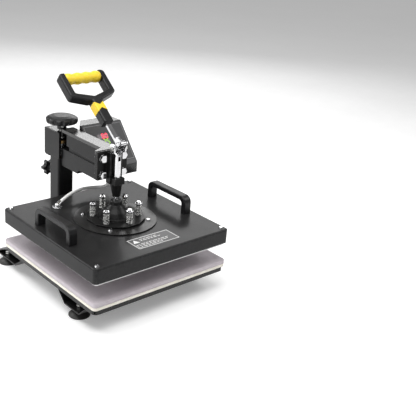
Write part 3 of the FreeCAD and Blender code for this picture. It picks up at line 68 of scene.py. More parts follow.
def aim_camera():
    """A long lens from the front left, a little above the platen, with a slight roll."""
    yaw, pitch, roll = CAMERA_TURN
    ahead = Vector((math.sin(yaw) * math.cos(pitch), math.cos(yaw) * math.cos(pitch), -math.sin(pitch)))
    right = Vector((math.cos(yaw), -math.sin(yaw), 0.0))
    up = right.cross(ahead)
    rolled_right = math.cos(roll) * right + math.sin(roll) * up
    rolled_up = -math.sin(roll) * right + math.cos(roll) * up
    data = bpy.data.cameras.new("view_camera")
    data.sensor_width = 36.0
    data.lens = 61.8
    data.shift_x = 0.0913
    data.shift_y = -0.0096
    data.clip_end = 50.0
    camera = bpy.data.objects.new("view_camera", data)
    COLLECTION.objects.link(camera)
    turn = Matrix((rolled_right, rolled_up, -ahead)).transposed().to_4x4()
    offset = CAMERA_OFFSET_MM * MM
    place = CAMERA_TARGET - (rolled_right * offset.x - rolled_up * offset.y + ahead * offset.z)
    camera.matrix_world = Matrix.Translation(place) @ turn
    bpy.context.scene.camera = camera


def soft_light(name, place, size, power):
    """A rectangular lamp that faces the middle of the press."""
    data = bpy.data.lights.new(name, "AREA")
    data.shape = "RECTANGLE"
    data.size, data.size_y = size
    data.energy = power
    lamp = bpy.data.objects.new(name, data)
    COLLECTION.objects.link(lamp)
    heading = Vector((0.0, 0.0, 0.2)) - Vector(place)
    lamp.rotation_euler = heading.to_track_quat("-Z", "Y").to_euler()
    lamp.location = place


def light_studio():
    """Soft boxes above, at the sides and low behind, and a backdrop that the camera sees as white."""
    soft_light("top_softbox", (-0.4, -0.2, 2.5), (2.0, 2.0), 54.0)
    soft_light("left_softbox", (-2.5, 0.0, 0.8), (1.0, 1.6), 16.0)
    soft_light("rear_left_softbox", (-1.0, 1.8, 1.65), (1.3, 0.8), 24.0)
    soft_light("right_softbox", (1.6, -1.0, 1.75), (0.9, 0.9), 14.0)
    soft_light("back_strip", (1.75, 1.95, 1.35), (1.8, 0.6), 14.0)
    world = bpy.data.worlds.new("studio_air")
    bpy.context.scene.world = world
    world.use_nodes = True
    background = world.node_tree.nodes["Background"]
    background.inputs["Color"].default_value = (1.0, 1.0, 1.0, 1.0)
    rays = world.node_tree.nodes.new("ShaderNodeLightPath")
    level = world.node_tree.nodes.new("ShaderNodeMapRange")
    level.inputs["To Min"].default_value = 0.22
    level.inputs["To Max"].default_value = 1.0
    world.node_tree.links.new(rays.outputs["Is Camera Ray"], level.inputs["Value"])
    world.node_tree.links.new(level.outputs["Result"], background.inputs["Strength"])
    bpy.context.scene.view_settings.view_transform = "Standard"


FLOOR_REACH = 9.0
FLOOR_DROP = 0.0006


def mesh_piece(name, bm, smooth=False):
    mesh = bpy.data.meshes.new(name)
    bm.normal_update()
    bm.to_mesh(mesh)
    bm.free()
    piece = bpy.data.objects.new(name, mesh)
    COLLECTION.objects.link(piece)
    for face in mesh.polygons:
        face.use_smooth = smooth
    return piece


def lay_floor(material):
    bm = bmesh.new()
    bmesh.ops.create_grid(bm, x_segments=8, y_segments=8, size=FLOOR_REACH)
    floor = mesh_piece("studio_floor", bm)
    floor.location.z = -FLOOR_DROP
    floor.data.materials.append(material)


# ---------------------------------------------------------------- shader groups

def new_group(name, inputs, outputs):
    """A shader group with named sockets. Inputs are (name, type, default)."""
    tree = bpy.data.node_groups.new(name, "ShaderNodeTree")
    for label, kind, default in inputs:
        socket = tree.interface.new_socket(name=label, in_out="INPUT", socket_type="NodeSocket" + kind)
        socket.default_value = default
    for label, kind in outputs:
        tree.interface.new_socket(name=label, in_out="OUTPUT", socket_type="NodeSocket" + kind)
    entry = tree.nodes.new("NodeGroupInput")
    leave = tree.nodes.new("NodeGroupOutput")
    return tree, entry.outputs, leave.inputs


def add(tree, kind, **settings):
    node = tree.nodes.new("ShaderNode" + kind)
    for key, setting in settings.items():
        setattr(node, key, setting)
    return node


def wire(tree, source, target):
    tree.links.new(source, target)


def noise(tree, vector, scale, detail=4.0, roughness=0.55):
    node = add(tree, "TexNoise")
    wire(tree, vector, node.inputs["Vector"])
    node.inputs["Detail"].default_value = detail
    node.inputs["Roughness"].default_value = roughness
    if hasattr(scale, "is_linked"):
        wire(tree, scale, node.inputs["Scale"])
    else:
        node.inputs["Scale"].default_value = scale
    return node


def math_node(tree, operation, first, second, clamp=False):
    node = add(tree, "Math", operation=operation, use_clamp=clamp)
    for socket, source in zip(node.inputs, (first, second)):
        if hasattr(source, "is_linked"):
            wire(tree, source, socket)
        else:
            socket.default_value = source
    return node.outputs[0]


def object_space(tree):
    return add(tree, "TexCoord").outputs["Object"]


def build_tone_group():
    """Slow and fast mottling between two colours."""
    tree, given, out = new_group(
        "surface_tone",
        [("Dark", "Color", (0, 0, 0, 1)), ("Light", "Color", (1, 1, 1, 1)), ("Scale", "Float", 20.0)],
        [("Color", "Color"), ("Mask", "Float")])
    space = object_space(tree)
    slow = noise(tree, space, given["Scale"], 3.0)
    fast = noise(tree, space, math_node(tree, "MULTIPLY", given["Scale"], 9.0), 6.0, 0.6)
    blend = math_node(tree, "MULTIPLY", slow.outputs["Fac"], fast.outputs["Fac"])
    mask = add(tree, "MapRange")
    wire(tree, blend, mask.inputs["Value"])
    mask.inputs["From Min"].default_value = 0.14
    mask.inputs["From Max"].default_value = 0.38
    mix = add(tree, "Mix", data_type="RGBA")
    wire(tree, mask.outputs["Result"], mix.inputs["Factor"])
    wire(tree, given["Dark"], mix.inputs["A"])
    wire(tree, given["Light"], mix.inputs["B"])
    wire(tree, mix.outputs["Result"], out["Color"])
    wire(tree, mask.outputs["Result"], out["Mask"])
    return tree


def build_grain_group():
    """A fine raised grain over an edge that is eased by a small radius."""
    tree, given, out = new_group(
        "grained_normal",
        [("Scale", "Float", 900.0), ("Strength", "Float", 0.2), ("Edge radius", "Float", 0.0005)],
        [("Normal", "Vector")])
    space = object_space(tree)
    grain = noise(tree, space, given["Scale"], 3.0, 0.5)
    dents = noise(tree, space, 45.0, 2.0, 0.5)
    softened = math_node(tree, "MULTIPLY", dents.outputs["Fac"], 0.9)
    height = math_node(tree, "ADD", grain.outputs["Fac"], softened)
    eased = add(tree, "Bevel", samples=4)
    wire(tree, given["Edge radius"], eased.inputs["Radius"])
    bump = add(tree, "Bump")
    bump.inputs["Distance"].default_value = 0.0004
    wire(tree, given["Strength"], bump.inputs["Strength"])
    wire(tree, height, bump.inputs["Height"])
    wire(tree, eased.outputs["Normal"], bump.inputs["Normal"])
    wire(tree, bump.outputs["Normal"], out["Normal"])
    return tree


def build_wear_group():
    """A broken mask along sharp edges."""
    tree, given, out = new_group(
        "edge_wear",
        [("Radius", "Float", 0.0012), ("Amount", "Float", 1.0), ("Scale", "Float", 120.0)],
        [("Mask", "Float")])
    eased = add(tree, "Bevel", samples=4)
    wire(tree, given["Radius"], eased.inputs["Radius"])
    flat = add(tree, "NewGeometry")
    dot = add(tree, "VectorMath", operation="DOT_PRODUCT")
    wire(tree, eased.outputs["Normal"], dot.inputs[0])
    wire(tree, flat.outputs["Normal"], dot.inputs[1])
    rounded = math_node(tree, "SUBTRACT", 1.0, dot.outputs["Value"], clamp=True)
    patch = noise(tree, object_space(tree), given["Scale"], 5.0, 0.65)
    broken = add(tree, "MapRange")
    wire(tree, patch.outputs["Fac"], broken.inputs["Value"])
    broken.inputs["From Min"].default_value = 0.42
    broken.inputs["From Max"].default_value = 0.62
    edge = math_node(tree, "MULTIPLY", rounded, 6.0, clamp=True)
    mask = math_node(tree, "MULTIPLY", edge, broken.outputs["Result"])
    wire(tree, math_node(tree, "MULTIPLY", mask, given["Amount"], clamp=True), out["Mask"])
    return tree


def build_dust_group():
    """A thin film on faces that look upwards."""
    tree, given, out = new_group(
        "settled_dust", [("Amount", "Float", 0.2), ("Scale", "Float", 30.0)], [("Mask", "Float")])
    shape = add(tree, "NewGeometry")
    split = add(tree, "SeparateXYZ")
    wire(tree, shape.outputs["Normal"], split.inputs["Vector"])
    patch = noise(tree, object_space(tree), given["Scale"], 6.0, 0.7)
    up = math_node(tree, "POWER", math_node(tree, "MAXIMUM", split.outputs["Z"], 0.0), 6.0)
    film = math_node(tree, "MULTIPLY", up, patch.outputs["Fac"])
    wire(tree, math_node(tree, "MULTIPLY", film, given["Amount"], clamp=True), out["Mask"])
    return tree


TONE = build_tone_group()
GRAIN = build_grain_group()
WEAR = build_wear_group()
DUST = build_dust_group()


# ---------------------------------------------------------------- materials

def place_group(tree, group, **values):
    node = tree.nodes.new("ShaderNodeGroup")
    node.node_tree = group
    for label, setting in values.items():
        node.inputs[label.replace("_", " ")].default_value = setting
    return node.outputs


def rgba(colour):
    return (*colour, 1.0)


def grey(level):
    return (level, level, level)


def scaled(colour, share):
    return tuple(share * channel for channel in colour)


def mix_colour(tree, mask, first, second):
    """A colour from the nodes, with a plain one laid over it where the mask says."""
    mix = add(tree, "Mix", data_type="RGBA")
    wire(tree, mask, mix.inputs["Factor"])
    wire(tree, first, mix.inputs["A"])
    mix.inputs["B"].default_value = rgba(second)
    return mix.outputs["Result"]


DUST_COLOUR = (0.30, 0.29, 0.27)
WORN_PAINT = (0.16, 0.16, 0.16)


def finish(name, dark, light, rough, spread=0.08, metallic=0.0, tone_scale=18.0, grain_scale=900.0,
           grain=0.15, edge=0.0005, wear=0.0, dust=0.0, coat=0.0, sheen=0.0, specular=0.5):
    """One finish: mottled colour, uneven gloss, grain, worn edges and a little dust."""
    material = bpy.data.materials.new(name)
    material.use_nodes = True
    tree = material.node_tree
    shader = tree.nodes["Principled BSDF"]
    tone = place_group(tree, TONE, Dark=rgba(dark), Light=rgba(light), Scale=tone_scale)
    colour = tone["Color"]
    gloss = add(tree, "MapRange")
    wire(tree, tone["Mask"], gloss.inputs["Value"])
    gloss.inputs["To Min"].default_value = rough - spread / 2
    gloss.inputs["To Max"].default_value = rough + spread / 2
    roughness = gloss.outputs["Result"]
    if wear:
        worn = place_group(tree, WEAR, Amount=wear, Radius=edge * 2.0)["Mask"]
        colour = mix_colour(tree, worn, colour, WORN_PAINT)
    if dust:
        film = place_group(tree, DUST, Amount=dust)["Mask"]
        colour = mix_colour(tree, film, colour, DUST_COLOUR)
        roughness = math_node(tree, "ADD", roughness, math_node(tree, "MULTIPLY", film, 0.4), clamp=True)
    wire(tree, colour, shader.inputs["Base Color"])
    wire(tree, roughness, shader.inputs["Roughness"])
    normal = place_group(tree, GRAIN, Scale=grain_scale, Strength=grain, Edge_radius=edge)["Normal"]
    wire(tree, normal, shader.inputs["Normal"])
    shader.inputs["Metallic"].default_value = metallic
    shader.inputs["Coat Weight"].default_value = coat
    shader.inputs["Coat Roughness"].default_value = 0.18
    shader.inputs["Sheen Weight"].default_value = sheen
    shader.inputs["Specular IOR Level"].default_value = specular
    return material


def glowing(name, colour, strength):
    """Lit display segments, a little uneven in brightness."""
    material = finish(name, scaled(colour, 0.15), scaled(colour, 0.25), 0.5, grain=0.03, tone_scale=300.0,
                      specular=0.1)
    tree = material.node_tree
    shader = tree.nodes["Principled BSDF"]
    tone = place_group(tree, TONE, Dark=rgba(scaled(colour, 0.8)), Light=rgba(colour), Scale=260.0)
    wire(tree, tone["Color"], shader.inputs["Emission Color"])
    shader.inputs["Emission Strength"].default_value = strength
    return material


def bright_floor(name):
    """A pale sheet, lifted a little so that it stays pale far from the lamps."""
    material = finish(name, grey(0.86), grey(0.90), 0.65, grain=0.02, tone_scale=2.0, edge=0.0001)
    shader = material.node_tree.nodes["Principled BSDF"]
    shader.inputs["Emission Color"].default_value = (1.0, 1.0, 1.0, 1.0)
    shader.inputs["Emission Strength"].default_value = 0.24
    return material


def braided(name):
    """A woven glass-fibre sleeve: two crossing sets of yarn."""
    material = finish(name, (0.93, 0.93, 0.91), (0.98, 0.98, 0.97), 0.75, grain=0.2, grain_scale=1500.0,
                      tone_scale=60.0, sheen=0.3, dust=0.1)
    tree = material.node_tree
    shader = tree.nodes["Principled BSDF"]
    bump = add(tree, "Bump")
    bump.inputs["Distance"].default_value = 0.0006
    bump.inputs["Strength"].default_value = 0.45
    space = object_space(tree)
    yarns = []
    for axis in ("X", "Y"):
        wave = add(tree, "TexWave", wave_type="BANDS", bands_direction=axis)
        wave.inputs["Scale"].default_value = 190.0
        wave.inputs["Distortion"].default_value = 1.5
        wire(tree, space, wave.inputs["Vector"])
        yarns.append(wave.outputs["Fac"])
    wire(tree, math_node(tree, "MAXIMUM", *yarns), bump.inputs["Height"])
    wire(tree, bump.outputs["Normal"], shader.inputs["Normal"])
    return material


PAINTS = {
    "black_powder_coat": dict(dark=(0.0045, 0.0045, 0.005), light=(0.009, 0.009, 0.0095), rough=0.42,
                              grain_scale=1500.0, grain=0.16, wear=0.35, dust=0.03, edge=0.0012,
                              specular=0.22, coat=0.06),
    "cover_coat": dict(dark=(0.006, 0.006, 0.0065), light=(0.013, 0.013, 0.0135), rough=0.47,
                       grain_scale=1300.0, grain=0.22, wear=0.30, dust=0.03, edge=0.0035,
                       specular=0.16, coat=0.16),
    "gloss_lid": dict(dark=grey(0.010), light=grey(0.017), rough=0.26, spread=0.02,
                      grain_scale=1200.0, grain=0.03, wear=0.2, edge=0.0010, coat=0.25),
    "black_paint": dict(dark=grey(0.006), light=grey(0.011), rough=0.30,
                        grain=0.10, wear=0.4, dust=0.04, edge=0.0009, specular=0.3),
    "cast_black": dict(dark=grey(0.005), light=grey(0.010), rough=0.33,
                       grain_scale=420.0, grain=0.25, wear=0.4, dust=0.01, edge=0.0014, specular=0.18),
}
PLASTICS_AND_RUBBERS = {
    "black_plastic": dict(dark=(0.009, 0.009, 0.0095), light=(0.016, 0.016, 0.017), rough=0.36,
                          specular=0.3, grain_scale=1100.0, grain=0.22, wear=0.2, dust=0.03, edge=0.0012),
    "grey_button": dict(dark=(0.06, 0.06, 0.065), light=(0.09, 0.09, 0.095), rough=0.42, edge=0.0004),
    "black_rubber": dict(dark=grey(0.010), light=grey(0.018), rough=0.52,
                         grain_scale=600.0, grain=0.25, edge=0.0006, dust=0.22),
    "yellow_rubber": dict(dark=(0.88, 0.60, 0.015), light=(1.0, 0.74, 0.04), rough=0.45,
                          grain=0.18, tone_scale=30.0, edge=0.0008, sheen=0.1),
    "pad_silicone": dict(dark=(0.47, 0.42, 0.455), light=(0.55, 0.50, 0.535), rough=0.62,
                         grain_scale=1300.0, grain=0.35, tone_scale=7.0, edge=0.001, sheen=0.25, dust=0.08),
    "cream_foam": dict(dark=(0.80, 0.76, 0.66), light=(0.93, 0.90, 0.82), rough=0.80,
                       grain_scale=700.0, grain=0.7, tone_scale=40.0, edge=0.0008, sheen=0.2),
    "mineral_mat": dict(dark=(0.55, 0.54, 0.50), light=(0.80, 0.79, 0.75), rough=0.9,
                        grain_scale=500.0, grain=0.9, tone_scale=60.0, sheen=0.4),
}
METALS = {
    "chrome_plate": dict(dark=(0.62, 0.62, 0.63), light=(0.74, 0.74, 0.75), rough=0.13,
                         grain_scale=300.0, grain=0.03, tone_scale=40.0),
    "zinc_plate": dict(dark=(0.48, 0.48, 0.47), light=(0.66, 0.66, 0.64), rough=0.27, spread=0.12,
                       grain_scale=500.0, grain=0.10, tone_scale=70.0),
    "ground_steel": dict(dark=grey(0.38), light=grey(0.50), rough=0.24, spread=0.10,
                         grain_scale=700.0, grain=0.12, tone_scale=30.0),
    "bronze": dict(dark=(0.36, 0.21, 0.08), light=(0.52, 0.34, 0.15), rough=0.34),
    "cast_plate": dict(dark=grey(0.50), light=grey(0.66), rough=0.33,
                       grain_scale=400.0, grain=0.12, tone_scale=12.0, edge=0.001),
}
PANEL_PARTS = {
    "grey_panel": dict(dark=(0.050, 0.050, 0.052), light=(0.066, 0.066, 0.068), rough=0.46, specular=0.3,
                       grain_scale=1800.0, grain=0.12, tone_scale=9.0, edge=0.0003, dust=0.04),
    "panel_line": dict(dark=(0.17, 0.17, 0.175), light=(0.22, 0.22, 0.225), rough=0.40,
                       grain=0.05, tone_scale=30.0, edge=0.0001),
    "panel_strip": dict(dark=(0.085, 0.085, 0.088), light=(0.105, 0.105, 0.108), rough=0.46, specular=0.3,
                        grain_scale=1800.0, grain=0.10, tone_scale=9.0, edge=0.0003),
    "red_window": dict(dark=(0.050, 0.004, 0.006), light=(0.085, 0.006, 0.010), rough=0.12, grain=0.02,
                       coat=0.4, edge=0.0003),
    "green_window": dict(dark=(0.016, 0.030, 0.010), light=(0.026, 0.044, 0.014), rough=0.12, grain=0.02,
                         coat=0.4, edge=0.0003),
    "unlit_digits": dict(dark=(0.016, 0.016, 0.03), light=(0.035, 0.035, 0.055), rough=0.3, grain=0.03),
    "board_green": dict(dark=(0.01, 0.09, 0.03), light=(0.02, 0.14, 0.05), rough=0.3, grain=0.1, coat=0.3),
    "label_black": dict(dark=grey(0.018), light=grey(0.030), rough=0.35, grain=0.04,
                        tone_scale=60.0, edge=0.0001),
    "label_white": dict(dark=(0.62, 0.62, 0.61), light=(0.80, 0.80, 0.79), rough=0.38, grain=0.04,
                        tone_scale=60.0, edge=0.0001),
}


def build_finishes():
    """Every finish by name: the plain ones from the tables above, then the lit, woven and floor ones."""
    made = {}
    for table, metallic in ((PAINTS, 0.0), (PLASTICS_AND_RUBBERS, 0.0), (METALS, 1.0), (PANEL_PARTS, 0.0)):
        for name, values in table.items():
            made[name] = finish(name, metallic=metallic, **values)
    made["red_digits"] = glowing("red_digits", (1.0, 0.04, 0.10), 1.5)
    made["green_digits"] = glowing("green_digits", (0.42, 0.85, 0.06), 0.9)
    made["white_sleeve"] = braided("white_sleeve")
    made["pale_floor"] = bright_floor("pale_floor")
    return made


FINISH = build_finishes()
NODE_FINISHES = {
    "hub": "cast_black", "guide_sleeve": "cast_black", "press_head": "cast_black",
    "support_disc": "black_paint", "platen_cover": "cover_coat",
    "arm_top_plate": "gloss_lid", "column_head_cap": "gloss_lid", "control_box": "gloss_lid",
    "spring_bolts": "chrome_plate", "cover_screws": "chrome_plate", "head_bolts": "chrome_plate",
}


def dress_cad_nodes():
    """Every CAD node gets the finish of its slot in the record, unless NODE_FINISHES names another."""
    slots = {row["node"]: row["material_slot"] for row in frame["record"]["subparts"]}
    for node, obj in frame["nodes"].items():
        slot = NODE_FINISHES.get(node, slots[node])
        obj.data.materials.clear()
        obj.data.materials.append(FINISH[slot])


def dress(piece, finish_name, body):
    piece.data.materials.append(FINISH[finish_name])
    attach(piece, body)
    return piece


# ---------------------------------------------------------------- mesh helpers

def loft(name, rings, smooth=True, caps=True):
    """Faces between rings of equal length, with flat caps on the first and last."""
    bm = bmesh.new()
    rows = [[bm.verts.new(point) for point in ring] for ring in rings]
    for low, high in zip(rows, rows[1:]):
        count = len(low)
        for i in range(count):
            j = (i + 1) % count
            bm.faces.new((low[i], low[j], high[j], high[i]))
    if caps:
        bm.faces.new(list(reversed(rows[0])))
        bm.faces.new(rows[-1])
    bmesh.ops.recalc_face_normals(bm, faces=bm.faces)
    return mesh_piece(name, bm, smooth)


def join_meshes(name, pieces):
    """One smooth piece from several, which are removed."""
    bm = bmesh.new()
    for piece in pieces:
        bm.from_mesh(piece.data)
        bpy.data.objects.remove(piece)
    return mesh_piece(name, bm, True)


def rounded_rectangle(half_x, half_y, corner, z, steps):
    """A level ring round the middle of the bed, with each corner in so many steps."""
    ring = []
    for quarter in range(4):
        centre_x = (half_x - corner) * (1, -1, -1, 1)[quarter]
        centre_y = (half_y - corner) * (1, 1, -1, -1)[quarter] + BED_Y
        for i in range(steps + 1):
            angle = math.pi / 2 * (quarter + i / steps)
            along, across = corner * math.cos(angle), corner * math.sin(angle)
            ring.append(Vector((centre_x + along, centre_y + across, z)))
    return ring


def sweep(name, points, radius, sides):
    """A round tube along a line of points, carried without twist."""
    heading = (points[1] - points[0]).normalized()
    across = heading.orthogonal().normalized()
    rings = []
    for i, point in enumerate(points):
        before, after = points[max(i - 1, 0)], points[min(i + 1, len(points) - 1)]
        heading = (after - before).normalized()
        across = (across - heading * across.dot(heading)).normalized()
        side = heading.cross(across)
        rings.append([point + radius * (math.cos(a) * across + math.sin(a) * side)
                      for a in (2 * math.pi * k / sides for k in range(sides))])
    return loft(name, rings)


class Sheet:
    """A flat working plane: millimetres across and up it, and a height above it."""

    def __init__(self, origin, across, up):
        self.origin = Vector(origin)
        self.across = Vector(across).normalized()
        self.up = Vector(up).normalized()
        self.out = self.across.cross(self.up)

    def at(self, x, y, height=0.0):
        return self.origin + MM * (x * self.across + y * self.up + height * self.out)


RAISED_EASE = 0.08


def middle_of(outline):
    return Vector((sum(x for x, _ in outline) / len(outline), sum(y for _, y in outline) / len(outline)))


def raised(name, sheet, outlines, high, low=-0.15):
    """Thin raised shapes on a plane, each with an eased upper edge. All measures are millimetres."""
    bm = bmesh.new()
    for outline in outlines:
        middle = middle_of(outline)
        eased = [Vector(p) + (middle - Vector(p)).normalized() * RAISED_EASE for p in outline]
        levels = [(outline, low), (outline, high - RAISED_EASE), (eased, high)]
        rows = [[bm.verts.new(sheet.at(x, y, height)) for x, y in shape] for shape, height in levels]
        for lower, upper in zip(rows, rows[1:]):
            for i in range(len(lower)):
                j = (i + 1) % len(lower)
                bm.faces.new((lower[i], lower[j], upper[j], upper[i]))
        bm.faces.new(list(reversed(rows[0])))
        bm.faces.new(rows[-1])
    bmesh.ops.recalc_face_normals(bm, faces=bm.faces)
    return mesh_piece(name, bm)


def bar(x_low, y_low, x_high, y_high, corner):
    """A rectangle with round corners."""
    left, right, foot, head = x_low + corner, x_high - corner, y_low + corner, y_high - corner
    points = []
    for quarter, (cx, cy) in enumerate(((right, head), (left, head), (left, foot), (right, foot))):
        for i in range(5):
            angle = math.pi / 2 * (quarter + i / 4)
            points.append((cx + corner * math.cos(angle), cy + corner * math.sin(angle)))
    return points


def border(x_low, y_low, x_high, y_high, width):
    """Four mitred strips round a rectangle."""
    outer = [(x_low, y_low), (x_high, y_low), (x_high, y_high), (x_low, y_high)]
    inner = [(x_low + width, y_low + width), (x_high - width, y_low + width),
             (x_high - width, y_high - width), (x_low + width, y_high - width)]
    return [[outer[i], outer[(i + 1) % 4], inner[(i + 1) % 4], inner[i]] for i in range(4)]


# ---------------------------------------------------------------- heater lead

CABLE_ROUTE_MM = [
    (-70.0, 134.5, 171.0), (-48.0, 143.0, 177.5), (-20.0, 152.5, 181.0), (14.0, 159.5, 181.5),
    (48.4, 152.3, 180.5), (63.4, 141.0, 182.3), (70.2, 135.9, 186.9), (75.3, 132.0, 194.2),
    (78.0, 130.0, 203.3), (78.0, 130.0, 213.0),
]
CABLE_DIAMETER = 0.008
CABLE_SIDES = 28


def cable_centreline():
    """Points along the route's smooth spline."""
    curve = bpy.data.curves.new("heater_lead_route", "CURVE")
    curve.dimensions = "3D"
    spline = curve.splines.new("NURBS")
    spline.points.add(len(CABLE_ROUTE_MM) - 1)
    for point, (x, y, z) in zip(spline.points, CABLE_ROUTE_MM):
        point.co = (x * MM, y * MM + BED_Y, z * MM, 1.0)
    spline.order_u = 3
    spline.use_endpoint_u = True
    spline.resolution_u = 24
    route = bpy.data.objects.new("heater_lead_route", curve)
    COLLECTION.objects.link(route)
    line = bpy.data.meshes.new_from_object(route)
    points = [vertex.co.copy() for vertex in line.vertices]
    bpy.data.objects.remove(route)
    bpy.data.curves.remove(curve)
    bpy.data.meshes.remove(line)
    return points


def run_cable():
    """The sleeved heater lead, from the gland on the cover to the one under the control box."""
    points = cable_centreline()
    lead = sweep("heater_lead", points, CABLE_DIAMETER / 2, CABLE_SIDES)
    lead.data.materials.append(FINISH["white_sleeve"])
    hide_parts("heater_cable")
    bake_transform(lead)


# ---------------------------------------------------------------- pads

PAD_CORNER, PAD_INNER_CORNER, PAD_CORNER_STEPS = 0.010, 0.003, 10
PAD_FOOT = ((0.0030, 0.0), (0.0006, 0.0004), (0.0, 0.0012))        # inset and height of the lower arris
PAD_TOP_INSETS = (0.006, 0.012, 0.025, 0.05, 0.09, 0.14, 0.18)


def lay_pad(name, node, finish_name, top_ease, crown, draw_in):
    """A slab with soft arrises, sides that draw in a little and a barely crowned top."""
    low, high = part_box(node)
    half_x, half_y = (high.x - low.x) / 2, (high.y - low.y) / 2
    z_low, z_high = low.z, high.z - crown
    rings = []

    def ring(inset, z):
        corner = max(PAD_CORNER - inset, PAD_INNER_CORNER)
        rings.append(rounded_rectangle(half_x - inset, half_y - inset, corner, z, PAD_CORNER_STEPS))

    for inset, height in PAD_FOOT:
        ring(inset, z_low + height)
    side_low = PAD_FOOT[-1][1]
    span = z_high - top_ease - z_low - side_low
    for share in (0.3, 0.5, 0.7):
        ring(draw_in * math.sin(math.pi * share), z_low + side_low + span * share)
    for step in range(7):
        angle = math.pi / 2 * step / 6
        ring(top_ease * (1 - math.cos(angle)), z_high - top_ease + top_ease * math.sin(angle))
    for inset in PAD_TOP_INSETS:
        rise = crown * (1 - (1 - inset / half_x) ** 2)
        ring(inset, z_high + rise)
    pad = dress(loft(name, rings), finish_name, "base")
    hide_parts(node)


def lay_pads():
    lay_pad("bed_foam", "foam_pad", "cream_foam", top_ease=0.0009, crown=0.0001, draw_in=0.0005)
    lay_pad("bed_silicone", "silicone_pad", "pad_silicone", top_ease=0.0026, crown=0.0006, draw_in=0.0003)


# ---------------------------------------------------------------- platen springs

SPRING_CIRCLE = 0.055
SPRING_COIL = 0.0069
SPRING_WIRE = 0.0011
SPRING_LOW, SPRING_HIGH = 0.168, 0.194
SPRING_TURNS = 6.5
SPRING_DEAD_TURNS = 0.8         # nearly closed, at each end
SPRING_DEAD_PITCH = 0.0021
SPRING_STEPS_A_TURN = 20
SPRING_SIDES = 10
SPRING_COUNT = 6


def wind_spring(place, index):
    """A compression spring with a nearly closed turn at each end."""
    points = []
    steps = int(SPRING_TURNS * SPRING_STEPS_A_TURN)
    travel = SPRING_HIGH - SPRING_LOW - 2 * SPRING_WIRE
    live_turns = SPRING_TURNS - 2 * SPRING_DEAD_TURNS
    live_travel = travel - SPRING_DEAD_PITCH * 2 * SPRING_DEAD_TURNS
    for i in range(steps + 1):
        turns = SPRING_TURNS * i / steps
        live = min(max((turns - SPRING_DEAD_TURNS) / live_turns, 0.0), 1.0)
        dead = min(turns, SPRING_DEAD_TURNS) + max(turns - SPRING_TURNS + SPRING_DEAD_TURNS, 0.0)
        height = SPRING_LOW + SPRING_WIRE + SPRING_DEAD_PITCH * dead + live_travel * live
        angle = 2 * math.pi * turns + index
        along, across = SPRING_COIL * math.cos(angle), SPRING_COIL * math.sin(angle)
        points.append(Vector((place.x + along, place.y + across, height)))
    return sweep(f"platen_spring_{index + 1}", points, SPRING_WIRE, SPRING_SIDES)


def wind_springs():
    """Six springs on a circle round the hub, the first at 30 degrees."""
    coils = []
    for index in range(SPRING_COUNT):
        angle = math.radians(30 + 60 * index)
        place = Vector((SPRING_CIRCLE * math.cos(angle), BED_Y + SPRING_CIRCLE * math.sin(angle)))
        coils.append(wind_spring(place, index))
    springs = dress(join_meshes("platen_spring_coils", coils), "zinc_plate", "upper_platen")
    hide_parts("platen_springs")


# ---------------------------------------------------------------- cover label

LABEL_MIDDLE = (0.0035, BED_Y - 0.1415)
LABEL_HALF_WIDTH, LABEL_HALF_HEIGHT, LABEL_MARGIN = 61, 26.5, 2.5
LABEL_TRIANGLE = [(-53, 3), (-36, 3), (-44.5, 18)]
LABEL_SQUARE = (-54, -20, -44, -6)
LABEL_LINES = (        # left end, height, and the lengths of the bars in the line
    (-30.0, 14, (9, 6, 12, 5, 8)),
    (-30.0, 8, (5, 11, 7, 6, 10, 7)),
    (-40.0, -6, (12, 6, 9, 14, 5, 11, 8)),
    (-40.0, -12, (7, 10, 5, 12, 8, 6, 13)),
    (-40.0, -18, (10, 8, 13, 6, 9)),
)
LABEL_BAR_HEIGHT, LABEL_BAR_GAP = 1.9, 2.2


def stick_label():
    """A black sticker on the cover: a white border, a plain triangle and ruled lines that say nothing."""
    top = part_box("platen_cover")[1].z
    sheet = Sheet((*LABEL_MIDDLE, top), (1, 0, 0), (0, 1, 0))
    half_x, half_y = LABEL_HALF_WIDTH, LABEL_HALF_HEIGHT
    plate = raised("cover_label", sheet, [bar(-half_x, -half_y, half_x, half_y, 2.0)], low=-0.1, high=0.18)
    dress(plate, "label_black", "upper_platen")
    inner_x, inner_y = half_x - LABEL_MARGIN, half_y - LABEL_MARGIN
    marks = border(-inner_x, -inner_y, inner_x, inner_y, 1.5)
    marks.append(LABEL_TRIANGLE)
    for x, y, lengths in LABEL_LINES:
        for length in lengths:
            marks.append(bar(x, y, x + length, y + LABEL_BAR_HEIGHT, 0.5))
            x += length + LABEL_BAR_GAP
    marks += border(*LABEL_SQUARE, 1.2)
    dress(raised("cover_label_print", sheet, marks, low=0.1, high=0.26), "label_white", "upper_platen")


# ---------------------------------------------------------------- control panel

PANEL_SLOPE = math.radians(49.25)
PANEL_MIDDLE_X = 0.0855
SEGMENTS = {
    "a": (0.5, 1.0, True), "b": (1.0, 0.75, False), "c": (1.0, 0.25, False), "d": (0.5, 0.0, True),
    "e": (0.0, 0.25, False), "f": (0.0, 0.75, False), "g": (0.5, 0.5, True),
}
LIT = {"0": "abcdef", "2": "abged", "5": "afgcd", "8": "abcdefg", " ": ""}
SEGMENT_HALF_WIDTH, SEGMENT_GAP = 1.15, 0.35
DIGIT_MARGIN_X, DIGIT_MARGIN_Y = 2.4, 2.3
PANEL_BORDER = (-57.5, 14.5, 57.5, 119)
PANEL_STRIP = (-60.5, 1.0, 60.5, 12.5)
PANEL_MARK_LEFT, PANEL_MARK_HEIGHT = -34.5, 1.6
PANEL_MARKS = ((80, 3.5), (83.5, 3.0), (63, 4.0), (67, 2.5))        # height on the panel, and length


